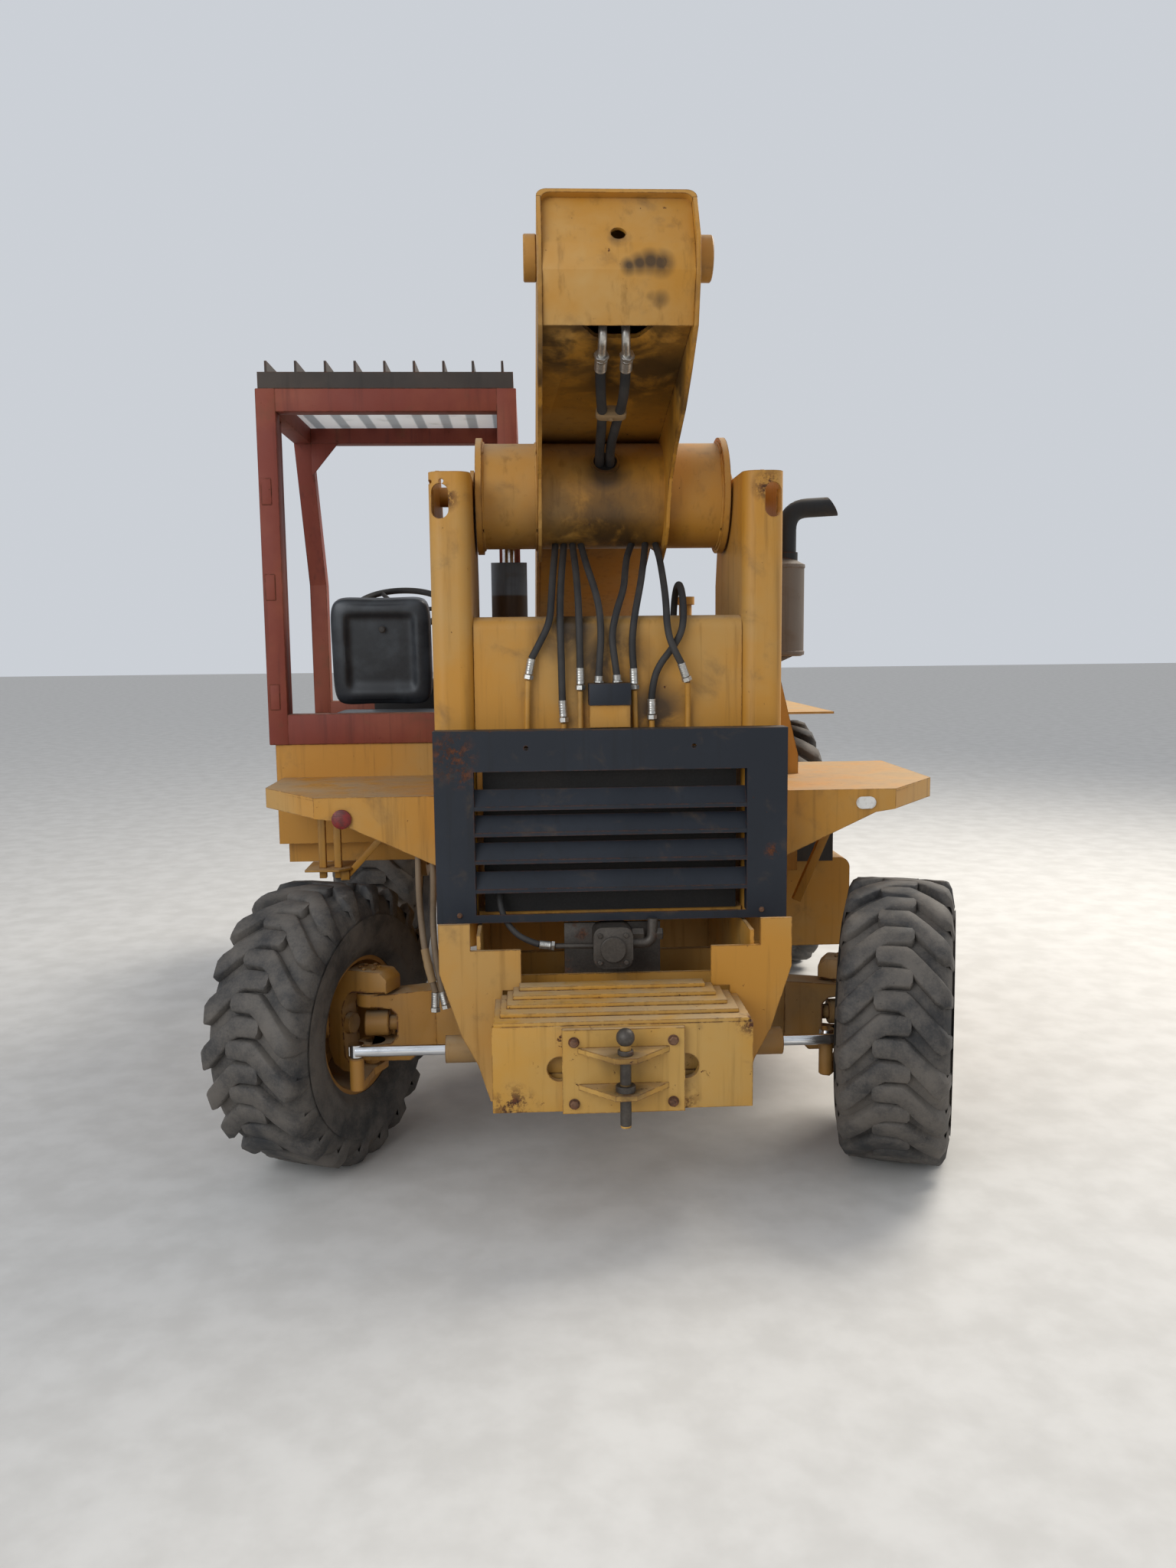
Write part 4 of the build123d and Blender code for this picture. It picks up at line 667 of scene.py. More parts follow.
def pipe(bm, corners, radius, bend, steps=20, wall=0.0, slant=0.0):
    """A round pipe along straight runs with bends; a wall makes its far end open."""
    path = [corners[0]]
    for before, corner, after in zip(corners, corners[1:], corners[2:]):
        first = corner + (before - corner).normalized() * bend
        last = corner + (after - corner).normalized() * bend
        for i in range(9):
            t = i / 8
            path.append(first * (1 - t) ** 2 + corner * 2 * t * (1 - t) + last * t * t)
    path.append(corners[-1])
    side = (path[1] - path[0]).orthogonal().normalized()
    rows = []
    for i, point in enumerate(path):
        way = heading(path, i)
        side = (side - way * side.dot(way)).normalized()
        over = way.cross(side)
        ring = [side * math.cos(TURN * k / steps) + over * math.sin(TURN * k / steps) for k in range(steps)]
        rows.append([point + out * radius for out in ring])
    if wall:
        inside = radius - wall
        rows[-1] = [point + out * radius - way * slant * (out.z + 1) for out in ring]
        rows.append([point + out * inside - way * slant * (out.z + 1) for out in ring])
        rows.append([point + out * inside - way * 0.12 for out in ring])
    skin(bm, rows, closed_ring=True, ends=True)


# Hoses

# name, body, look, radius and length in metres, points, and where its crimps start and stop, in millimetres
HOSES = (
    ("rear_hose_1", "chassis", "hose", 0.011, 0.57, (
        (-152, 270, 1995), (-157, 165, 1946), (-165, 61, 1891), (-174, -42, 1801), (-180, -74, 1728),
        (-212, -74, 1665), (-238, -69, 1618)), [((-238, -69, 1617.7), (-250, -67, 1552))]),
    ("rear_hose_2", "chassis", "hose", 0.011, 0.67, (
        (-124, 262, 1990), (-130, 162, 1944), (-139, 50, 1882), (-147, -32, 1798), (-149, -72, 1715),
        (-147, -75, 1620), (-146, -74, 1545), (-145, -67, 1489)), [((-145, -67, 1488.7), (-141, -67, 1418))]),
    ("rear_hose_3", "chassis", "hose", 0.011, 0.59, (
        (-97, 278, 1999), (-96, 180, 1957), (-94, 82, 1905), (-92, -12, 1832), (-91, -60, 1754),
        (-90, -75, 1670), (-89, -67, 1588)), [((-89, -67, 1587.7), (-89, -67, 1517))]),
    ("rear_hose_4", "chassis", "hose", 0.011, 0.62, (
        (-70, 278, 1997), (-65, 180, 1955), (-58, 81, 1904), (-40, -8, 1836), (-26, -58, 1762),
        (-24, -76, 1680), (-29, -78, 1615), (-32, -78, 1563)), [((-32, -78, 1562.7), (-33, -78, 1541.5))]),
    ("rear_hose_5", "chassis", "hose", 0.011, 0.62, (
        (106, 276, 1996), (80, 180, 1952), (64, 80, 1898), (53, -8, 1832), (26, -60, 1764),
        (8, -76, 1690), (15, -79, 1622), (23, -78, 1566)), [((23, -78, 1565.7), (24, -78, 1541.5))]),
    ("rear_hose_6", "chassis", "hose", 0.011, 0.6, (
        (148, 276, 1999), (136, 185, 1960), (122, 90, 1908), (105, 4, 1842), (86, -52, 1772),
        (73, -73, 1700), (71, -75, 1636), (76, -67, 1585)), [((76, -67, 1584.7), (78, -67, 1517))]),
    ("rear_hose_7", "chassis", "hose", 0.011, 0.71, (
        (131, -67, 1490), (135, -74, 1545), (156, -76, 1597), (192, -77, 1641), (224, -78, 1692),
        (232, -66, 1750), (233, -26, 1806), (233, 34, 1842), (233, 98, 1845), (233, 155, 1822),
        (233, 196, 1780), (233, 213, 1726), (233, 214, 1672)),
        [((131, -67, 1489.7), (132, -67, 1424)), ((233, 214, 1674), (233, 214, 1640))]),
    ("rear_hose_8", "chassis", "hose", 0.011, 0.6, (
        (178, 282, 2000), (178, 190, 1964), (178, 98, 1915), (178, 8, 1850), (179, -52, 1782),
        (177, -88, 1714), (188, -108, 1655), (219, -100, 1600)), [((219.1, -100, 1599.7), (240, -91, 1542))]),
    ("pump_hose", "chassis", "hose", 0.0095, 0.24, (
        (-350, -80, 905), (-349, -104, 872), (-340, -122, 833), (-317, -140, 793), (-278, -165, 763),
        (-228, -181, 750)), [((-228, -181, 750), (-180, -181, 743.5))]),
    ("axle_hose_1", "chassis", "tan_hose", 0.01, 0.53, (
        (-612, 62, 1050), (-613, 60, 975), (-609, 18, 908), (-602, -45, 855), (-592, -103, 803),
        (-582, -145, 742), (-567, -163, 672), (-549, -166, 603)), [((-549, -166, 602.5), (-551, -170, 540))]),
    ("axle_hose_2", "chassis", "tan_hose", 0.01, 0.52, (
        (-569, 60, 1042), (-567, 60, 968), (-562, 18, 902), (-559, -46, 853), (-556, -105, 803),
        (-551, -141, 742), (-541, -158, 673), (-528, -164, 604)), [((-528, -164, 603.5), (-515, -172, 550))]),
    ("boom_hose_1", "boom", "hose", 0.0145, 0.58, (
        (-36, -705, 30), (-33, -640, 18), (-27, -570, 12), (-20, -500, 12), (-19, -420, 4),
        (-18, -330, 4), (-15, -245, 14), (-10, -170, 30), (-8, -125, 34)), []),
    ("boom_hose_2", "boom", "hose", 0.0145, 0.58, (
        (34, -705, 30), (36, -640, 18), (35, -570, 12), (29, -500, 12), (20, -420, 4), (15, -330, 4),
        (18, -245, 14), (24, -170, 30), (23, -125, 34)), []),
)


def hose_curve(name, points, radius):
    """The route as a smooth line through a round section; no radius leaves the bare line."""
    curve = bpy.data.curves.new(name, "CURVE")
    curve.dimensions = "3D"
    line = curve.splines.new("NURBS")
    line.points.add(len(points) - 1)
    for place, point in zip(line.points, points):
        place.co = (*point, 1)
    line.order_u = 3
    line.use_endpoint_u = True
    line.resolution_u = 10
    curve.bevel_depth = radius
    curve.bevel_resolution = 5
    curve.use_fill_caps = True
    return link(name, curve)


def route_of(points):
    """Points along the smooth line, for what is fitted round a hose."""
    obj = hose_curve("route", points, 0)
    mesh = bpy.data.meshes.new_from_object(obj)
    route = [vertex.co.copy() for vertex in mesh.vertices]
    bpy.data.objects.remove(obj)
    return route


def ferrule(bm, start, stop, r):
    """A crimped sleeve with its grooves and the hexagon nut behind it."""
    way = stop - start
    length = way.length
    profile = [(0.0, r * 0.98), (0.001, r * 1.04)]
    for i in range(5):
        for part, wide in ((0, 1.04), (0.02, 1.015), (0.05, 1.015), (0.07, 1.04)):
            profile.append((((0.10 + i * 0.11) + part) * length, r * wide))
    profile += [(0.70 * length, r * 1.04), (0.71 * length, r * 0.99)]
    spin(bm, profile, start, way, steps=24)
    nut = ((0.74, 1.10), (0.76, 1.24), (0.94, 1.24), (0.96, 1.08))
    spin(bm, [(part * length, r * wide) for part, wide in nut], start, way, steps=6)


def make_crimps(name, crimps):
    """The crimped fittings at a hose's ends."""
    bm = bmesh.new()
    for start, stop in crimps:
        ferrule(bm, at(*start), at(*stop), 0.0126)
    return add_piece(f"{name}_crimps", bm, "zinc", smooth=30)


def make_hoses():
    for name, body, look, radius, length, points, crimps in HOSES:
        points = [boom_at(*point) if body == "boom" else at(*point) for point in points]
        obj = hose_curve(name, points, radius)
        obj.data.materials.append(MATS[look])
        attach(obj, body)
        [make_crimps(name, crimps)] if crimps else []


def make_fittings():
    """The boom hoses' crimps and strap, the looped hose's bracket and the outer axle hose's fabric sleeve."""
    crimps = bmesh.new()
    for x in (-36, 34):
        ferrule(crimps, boom_at(x, -705, 30), boom_at(x, -770, 36.5), 0.0171)
    add_piece("boom_crimps", crimps, "zinc", "boom", smooth=30)
    bracket = bmesh.new()
    block(bracket, 205, 265, -38, 245, 1628, 1640)
    add_piece("loop_bracket", bracket, "yellow")
    strap = bmesh.new()
    rows = []
    for u, inset in ((-520, 2), (-516, 0), (-494, 0), (-490, 2)):
        row = []
        for i in range(36):
            across, up = math.cos(TURN * i / 36), math.sin(TURN * i / 36)
            x = 5 + math.copysign(abs(across) ** 0.45, across) * (45 - inset)
            v = 12 + math.copysign(abs(up) ** 0.6, up) * (18.5 - inset)
            row.append(boom_at(x, u, v))
        rows.append(row)
    skin(strap, rows, closed_ring=True, ends=True)
    bolt(strap, boom_at(5, -505, -6), boom_at(0, 0, -1000) - PIVOT, 0.013, washer=False)
    add_piece("hose_strap", strap, "strap", "boom", smooth=40)
    points = next(row[5] for row in HOSES if row[0] == "axle_hose_1")
    covered = [p for p in route_of([at(*point) for point in points]) if 0.63 < p.z < 0.735]
    sleeve = bmesh.new()
    tube_along(sleeve, covered, lambda i, point: 0.0125 + 0.0035 * abs(noise.noise(point * 60)), 14)
    add_piece("hose_sleeve", sleeve, "strap", smooth=60)


# Boom

TAIL_U, MOUTH_U = -1010, 2500
BOOM_HALF, BOOM_WALL, BOOM_LOW, BOOM_TOP, BOOM_ROLL = 209, 12, 10, 370, 26
TUBE_R, BEAD_R = 0.1715, 0.0045


def boom_block(bm, x0, x1, u0, u1, v0, v1, edge=0.0015):
    boom_plate(bm, [(u0, v0), (u1, v0), (u1, v1), (u0, v1)], x0, x1, edge)


def deck_v(u):
    """The height of the deck under the tail."""
    return 49.5 + (u - TAIL_U - 112) * 0.1414


def make_boom():
    """Outer boom: side plates over the tube, a top with rolled edges, a notched deck under the tail."""
    bm = bmesh.new()
    inside, top_edge = BOOM_HALF - BOOM_WALL, BOOM_TOP - BOOM_ROLL
    cheek = [(TAIL_U + 12, top_edge), (TAIL_U - 15, 207), (TAIL_U + 18, 119), (TAIL_U + 95, 25),
             (TAIL_U + 235, -13), (TAIL_U + 383, -42), (TAIL_U + 593, -49), (-270, -75), (-208, -120),
             (-140, -178), (-70, -206), (60, -206), (150, -165), (230, -90), (420, BOOM_LOW),
             (MOUTH_U, BOOM_LOW), (MOUTH_U, top_edge)]
    for side, reach in ((-1, 35), (1, 53)):
        boom_plate(bm, cheek, side * inside, side * BOOM_HALF)
        boss = [boom_at(side * x, TAIL_U + 160, 270) for x in (BOOM_HALF, BOOM_HALF + reach)]
        bar(bm, *boss, 60)
        eye = [(1410, BOOM_LOW), (1710, BOOM_LOW), (1610, -115), (1510, -115)]
        boom_plate(bm, eye, side * 52, side * 72)
        for v0, v1 in ((22, 29.7), (350.3, 358)):
            boom_block(bm, side * 60, side * 150, 2380, 2480, v0, v1, 0.0005)
    # top with rolled edges
    turns = [math.radians(a) for a in range(0, 91, 15)]
    arc = [(math.cos(a) * BOOM_ROLL, math.sin(a) * BOOM_ROLL) for a in turns]
    right = [(BOOM_HALF - BOOM_ROLL + x, top_edge + v) for x, v in arc]
    outer = right + [(-x, v) for x, v in reversed(right)]
    inner = [(x * inside / BOOM_HALF, v - (BOOM_WALL if v > top_edge else 0)) for x, v in reversed(outer)]
    rows = []
    for u, lean in ((TAIL_U + 17, 0.196), (MOUTH_U, 0)):
        rows.append([boom_at(x, u - (BOOM_TOP - v) * lean, v) for x, v in outer + inner])
    skin(bm, rows, closed_ring=True, ends=True)
    boom_block(bm, -inside, inside, 150, MOUTH_U, BOOM_LOW, BOOM_LOW + BOOM_WALL)
    # deck with the notch where the hoses come out
    notch = [(-inside, 112), (-108, 112), (-100, 128), (-60, 200), (-48, 210), (54, 210), (66, 200),
             (104, 128), (112, 112), (inside, 112)]
    outline = [(x, TAIL_U + u) for x, u in notch] + [(inside, 0), (-inside, 0)]
    under = [boom_at(x, u, deck_v(u)) for x, u in outline]
    over = [boom_at(x, u, deck_v(u) + BOOM_WALL) for x, u in outline]
    prism(bm, under, over)
    stand_in("outer_boom", bm, "boom", "boom_outer", "boom")
    # cap bent twice towards the notch, with a hole
    cap = bmesh.new()
    top_v = BOOM_TOP - BOOM_WALL
    bends = [(35, top_v), (3, 200), (14, 130), (105, 30), (113, 37), (24, 133), (13, 200), (45, top_v)]
    boom_plate(cap, [(TAIL_U + u, v) for u, v in bends], -inside + 0.4, inside - 0.4)
    cap = carve(cap, [round_cutter(boom_at(0, TAIL_U - 40, 232), boom_at(0, TAIL_U + 60, 232), 19.5)])
    stand_in("tail_cap", cap, "cap", "boom_end_cap", "boom")
    # lip round the tube's hole, and a black disc inside it that paints the hole's shade
    mouth = boom_at(8, -174, 36.8)
    way = boom_at(8, -100, 21.2) - mouth
    lip = bmesh.new()
    spin(lip, [(0.0, 0.0375), (0.0, 0.046), (0.022, 0.046), (0.022, 0.0375)], mouth, way, closed=True)
    add_piece("tube_lip", lip, "tube", "boom")
    hole = bmesh.new()
    spin(hole, [(0.004, 0.038), (0.010, 0.038)], mouth, way)
    add_piece("tube_hole_shade", hole, "near_black", "boom")
    # weld beads where the side plates and end plates meet the tube
    seams = bmesh.new()
    for x in (-0.2125, 0.2125, -0.385, 0.385):
        turns = [a / 60 * TURN for a in range(61)]
        ring = [PIVOT + Vector((x, TUBE_R * math.cos(a), TUBE_R * math.sin(a))) for a in turns]
        tube_along(seams, ring, lambda i, point: BEAD_R * (
            1 + 0.18 * math.sin(i * 1.9 + x * 9) + 0.12 * noise.noise(point * 40)), 8)
    add_piece("tube_welds", seams, "tube", "boom", smooth=60)


def make_elbows():
    """Steel elbows of the boom's hoses inside the tail."""
    bm = bmesh.new()
    for x, x_end in ((-36, -36), (25, 34)):
        pipe(bm, [boom_at(x, -838, 118), boom_at(x, -838, 44), boom_at(x_end, -735, 33)], 0.012, 0.030)
    boom_block(bm, -72, 62, -860, -816, 108, 120)
    add_piece("hose_elbows", bm, "zinc", "boom")


# Body


def make_weight():
    """Counterweight: a rear plate with two holes before plates stepped back, and the ball with its pin."""
    half, rear, low, top, back = 368, -526, 355, 612, -290
    face = bmesh.new()
    block(face, -half, half, rear, rear + 22, low, top - 8, 0.003)
    face = carve(face, [round_cutter(at(x, rear - 9, 480), at(x, rear + 60, 480), 35) for x in (-179, 179)])
    step = (top - 8 - low) / 5
    for i, (inset, behind) in enumerate(((6, 20), (10, 34), (7, 34), (12, 34), (8, 20))):
        z = low + i * step
        block(face, -half + inset, half - inset, rear + behind, back, z + 2, z + step)
    for i in range(5):
        x0, x1, z = -half + 6 + 18 * i, half - 6 - 26 * i, top + 12 * i
        block(face, x0, x1, rear + 2 + 46 * i, back, z - 9, z + 3)
    stand_in("weight_plates", face, "weight", "counterweight")
    pin = bmesh.new()
    ball_r = 0.0258
    angles = [math.pi * i / 14 for i in range(15)]
    sphere = [(-ball_r * math.cos(a), max(ball_r * math.sin(a), 0.0005)) for a in angles]
    spin(pin, sphere, at(0, rear - 82, 595), (0, 0, 1), steps=32)
    for z0, z1, r in ((338, 344, 12), (344, 424.5, 15.6), (442, 460, 28), (462, 529, 15.6), (546.5, 560, 22),
                      (560, 580, 13)):
        upright(pin, 0, rear - 82, z0, z1, r, steps=28, edge=0.002)
    add_piece("ball_pin", pin, "iron")


def make_cab():
    """Cab frame of square tubes, its windscreen posts leaning back to the roof."""
    x0, x1, rear, front, sill, top, post, wind = -1190, -275, 620, 1640, 1305, 2560, 70, 1385
    bm = bmesh.new()
    lean = [(wind - post, top - 76), (wind, top - 76), (front, 1920), (front, sill), (front - post, sill),
            (front - post, 1920)]
    for left in (x0, x1 - post):
        near, far = left + 0.5, left + post - 0.5
        block(bm, left, left + post, rear, rear + post, sill, top, 0.004)
        block(bm, near, far, rear + post - 4, front, top - 80, top - 0.5, 0.004)
        block(bm, near, far, rear + post - 4, front - post + 4, sill + 0.5, sill + 60, 0.004)
        side_plate(bm, lean, left, left + post, 0.004)
    block(bm, x0 + 12, x0 + 46, 805, 841, sill + 59, top - 79, 0.003)
    near, far = x0 + post - 4, x1 - post + 4
    block(bm, near, far, rear + 1, rear + post - 1, top - 80, top - 0.5, 0.004)
    block(bm, near, far, wind - post, wind, top - 80, top - 0.5, 0.004)
    for y0 in (rear, front - post):
        block(bm, near, far, y0 + 1, y0 + post - 1, sill + 0.5, sill + 110, 0.004)
    for corner, reach in ((x0 + post, 110), (x1 - post, -110)):
        gusset = [(corner, top - 79), (corner + reach, top - 79), (corner, top - 210)]
        cross_plate(bm, gusset, wind - post, wind - post + 8)
    for left in (x0 + 10, x1 - 44):
        for z in (sill + 128, sill + 520, top - 400):
            block(bm, left, left + 34, rear - 3, rear + 2, z, z + 90, 0.001)
    stand_in("cab_tubes", bm, "red", "cab_frame")
    sheet = bmesh.new()
    block(sheet, x0 + post + 1, x1 - post - 1, rear + post + 1, wind - post - 1, 2540, 2546, 0.001)
    stand_in("roof_sheet", sheet, "clear", "skylight")


def cushion_point(p, half, crown, groove):
    """Where a point of a cube's skin goes on a cushion: a superellipse that swells, with a sunk panel."""
    s, t, w = p
    p = p / (abs(s) ** 7 + abs(t) ** 7 + abs(w) ** 7) ** (1 / 7)
    swell = crown * (1 - min(abs(s), 1) ** 2) * (1 - min(abs(w), 1) ** 2) * (1 if t < 0 else 0.6)
    q = Vector((p.x * half.x, p.y * half.y + math.copysign(swell, p.y) * abs(p.y), p.z * half.z))
    pull = 0.010 * (1 - s * s) if abs(w) > 0.98 else 0.0
    q.z -= math.copysign(pull, q.z) * abs(p.z)
    if groove and p.y < -0.6:
        inner, depth, wide = groove
        edge = max(abs(s), abs(w - 0.02)) / inner
        if edge < 1:
            q.y += depth * min(1, (1 - edge) / wide)
    return q


def pad(size, crown, groove=None):
    """A crowned cushion: a cube's six faces, each in squares, laid on the cushion's form."""
    bm = bmesh.new()
    n = 22
    half = Vector(size) / 2
    grid = {}
    for face in range(6):
        axis, way = face // 2, (face % 2) * 2 - 1
        a, b = [k for k in range(3) if k != axis]
        for i in range(n):
            for j in range(n):
                corners = []
                for di, dj in ((0, 0), (1, 0), (1, 1), (0, 1)):
                    p = [0.0, 0.0, 0.0]
                    p[axis], p[a], p[b] = way, (i + di) / n * 2 - 1, (j + dj) / n * 2 - 1
                    key = tuple(round(c, 5) for c in p)
                    if key not in grid:
                        grid[key] = bm.verts.new(cushion_point(Vector(p), half, crown, groove))
                    corners.append(grid[key])
                bm.faces.new(corners)
    return bm


def make_seat():
    """Back rest with a thick rounded border and a sunk panel, and a cushion under it."""
    back = pad((0.366, 0.112, 0.41), 0.012, groove=(0.70, 0.022, 0.10))
    bmesh.ops.rotate(back, verts=back.verts, matrix=Matrix.Rotation(math.radians(8), 3, "X"), cent=(0, 0, 0))
    bmesh.ops.translate(back, verts=back.verts, vec=at(-794, 800, 1640))
    obj = stand_in("seat_back", back, "seat", "seat", smooth=60)
    obj.modifiers.new("round", "SUBSURF").render_levels = 1
    cushion = pad((0.48, 0.46, 0.125), 0.0)
    bmesh.ops.translate(cushion, verts=cushion.verts, vec=at(-774, 985, 1345))
    obj = stand_in("seat_cushion", cushion, "seat", "seat", smooth=60)
    knob = bmesh.new()
    profile = [(0.0, 0.012), (0.008, 0.013), (0.012, 0.009), (0.013, 0.002)]
    spin(knob, profile, at(-785, 736, 1718), (0, -1, 0), steps=24)
    add_piece("seat_knob", knob, "plastic")


def make_steering_wheel():
    bm = bmesh.new()
    hub = at(-774, 1310, 1810)
    tilt = math.radians(25)
    axis = Vector((0, -math.sin(tilt), math.cos(tilt)))
    turns = [TURN * k / 12 for k in range(12)]
    ring = [(0.013 * math.cos(a), 0.1905 + 0.013 * math.sin(a)) for a in turns]
    spin(bm, ring, hub, axis, steps=72, closed=True)
    boss = [(-0.022, 0.028), (-0.016, 0.034), (0.016, 0.034), (0.024, 0.022), (0.026, 0.004)]
    spin(bm, boss, hub, axis, steps=32)
    for turn in (0, 120, 240):
        out = Matrix.Rotation(math.radians(turn), 3, axis) @ Vector((1, 0, 0))
        spoke = [hub + out * 0.02, hub + out * 0.10 - axis * 0.004, hub + out * 0.186]
        pipe(bm, spoke, 0.009, 0.02, steps=12)
    stand_in("hand_wheel", bm, "plastic", "steering_wheel")


def make_exhaust():
    """Muffler with rolled ends, its foot, and a black pipe with a slanted mouth."""
    x, y = 692, 600
    bm = bmesh.new()
    upright(bm, x - 60, y, 1520, 1592, 28)
    cross_plate(bm, [(x - 92, 1586), (x - 28, 1586), (x + 30, 1612), (x - 90, 1612)], y - 45, y + 45)
    muffler = [(0.0, 0.066), (0.006, 0.078), (0.016, 0.079), (0.020, 0.076), (0.314, 0.076), (0.318, 0.079),
               (0.328, 0.078), (0.336, 0.062), (0.350, 0.037)]
    spin(bm, muffler, at(x - 12, y, 1606), (0, 0, 1), steps=48)
    collar = [(0.0, 0.036), (0.0, 0.040), (0.030, 0.040), (0.030, 0.036)]
    spin(bm, collar, at(x, y, 1948), (0, 0, 1), steps=32, closed=True)
    corners = [at(x, y, 1935), at(x, y, 2132), at(x + 182, y, 2142)]
    pipe(bm, corners, 0.034, 0.075, steps=32, wall=0.003, slant=0.018)
    stand_in("muffler", bm, "exhaust", "exhaust")


def make_shelf_braces():
    bm = bmesh.new()
    for x in (-978, -926):
        block(bm, x, x + 24, 338, 362, 866, 1178)
    flat_plate(bm, [(-1022, 305), (-1022, 470), (-868, 470), (-868, 335), (-905, 300)], 894, 902)
    strut(bm, at(-890, 350, 866), at(-603, 350, 1176), 22, 10)
    block(bm, -906, -876, 338, 362, 858, 896)
    strut(bm, at(707, 455, 729), at(898, 455, 1177), 30, 26)
    add_piece("shelf_braces", bm, "yellow")


def make_lamps():
    """A red reflector on the left and a bare oval plate on the right."""
    bm = bmesh.new()
    rear = 30
    lens = [(0.0, 0.031), (0.008, 0.031), (0.010, 0.027), (0.013, 0.020), (0.015, 0.006)]
    spin(bm, lens, at(-847, rear - 0.3, 1116), (0, -1, 0), steps=36)
    turns = [TURN * i / 40 for i in range(40)]
    ring = [(836 + 20 * math.cos(a) + math.copysign(12, math.cos(a)), 1141 + 20 * math.sin(a)) for a in turns]
    cross_plate(bm, ring, rear - 7, rear - 0.3, 0.001)
    stand_in("lamp_faces", bm, "lens", "lamps")


def make_pump():
    """Gear pump: a rounded body, its cover with four screws, the mount and the pipes."""
    bm = bmesh.new()
    body = []
    for x, z, first in ((29, 45, 0), (-36, 45, 90), (-36, -40, 180), (29, -40, 270)):
        for a in range(first, first + 91, 15):
            body.append((x + 28 * math.cos(math.radians(a)), 739 + z * 0.85 + 28 * math.sin(math.radians(a))))
    cross_plate(bm, body, -212, -118, 0.004)
    level_bar(bm, -224, -210, -4, 737, 40)
    level_bar(bm, -120, -71, -4, 737, 40)
    block(bm, -150, 150, -118, -106, 600, 800)
    for x, z in ((-44, 780), (36, 780), (-44, 696), (36, 696)):
        bolt(bm, at(x, -212, z), (0, -1, 0), 0.015, washer=False)
    for x in (55, 113):
        cross_bar(bm, x, x + 40, -160, 770, 20, steps=6)
    pipe(bm, [at(60, -170, 745), at(118, -170, 745), at(122, -165, 820)], 0.016, 0.028)
    bar(bm, at(-180.3, -181, 743.5), at(-62, -178, 741), 8.5, edge=0.001)
    stand_in("pump", bm, "iron", "gear_pump")


def make_axle():
    """Rear axle: a deep beam with forked ends and a bowl in the middle."""
    bm = bmesh.new()
    mid = 450
    block(bm, -560, 560, -60, 60, mid - 54, mid + 125, 0.01)
    fork = [(540, -54), (600, -60), (640, -105), (770, -105), (770, -50), (702, -50), (680, -28), (680, 48),
            (702, 70), (770, 70), (770, 107), (744, 109), (562, 125), (540, 125)]
    for side in (-1, 1):
        cross_plate(bm, [(side * x, mid + z) for x, z in fork], -45, 45, 0.004)
        for z0, z1 in ((-105, -50), (70, 114)):
            upright(bm, side * 770, 0, mid + z0, mid + z1, 45)
        cross_bar(bm, side * 679, side * 722, 0, mid + 8, 24)
        cross_bar(bm, side * 712, side * 788, 0, mid + 8, 40)
    level_bar(bm, -45, 65, 60, mid, 140)
    level_bar(bm, -85, 105, 60, mid, 105, edge=0.02)
    level_bar(bm, -115, 200, 0, 470, 60)
    stand_in("axle_beam", bm, "axle", "rear_axle")


def make_pipes():
    """Steel pipes that the crimps carry on to, down behind the grille, and the bracket box's navy cover."""
    bm = bmesh.new()
    for points in (
        ((-250, -67, 1551.7), (-253, -67, 1480), (-255, -67, 1366)),
        ((-141, -67, 1417.7), (-141, -66.5, 1390), (-141, -67, 1366)),
        ((-89, -67, 1516.7), (-89.5, -67, 1440), (-89, -67, 1366)),
        ((78, -67, 1516.7), (80, -67, 1440), (81, -67, 1366)),
        ((132, -67, 1423.7), (132, -66.5, 1390), (132, -67, 1366)),
        ((240.1, -91, 1541.7), (244, -67, 1470), (244, -67, 1366)),
    ):
        pipe(bm, [at(*point) for point in points], 0.0085, 0.02)
    block(bm, -266, 255, -61, -50.3, 1370, 1388)
    add_piece("steel_pipes", bm, "yellow")
    cover = bmesh.new()
    block(cover, -64.6, 64.6, -112.6, -49, 1473.5, 1540.6)
    add_piece("box_cover", cover, "navy")


def make_bolts():
    """Bolts of the tow plate and two screws under the grille."""
    bm = bmesh.new()
    places = [(x, -546, z, 0.024) for x in (-139, 139) for z in (385, 563)]
    places += [(x, -153, 838, 0.013) for x in (-470, 462)]
    for x, y, z, across in places:
        bolt(bm, at(x, y, z), (0, -1, 0), across)
    add_piece("tow_bolts", bm, "rusty", smooth=20)


# Wheels


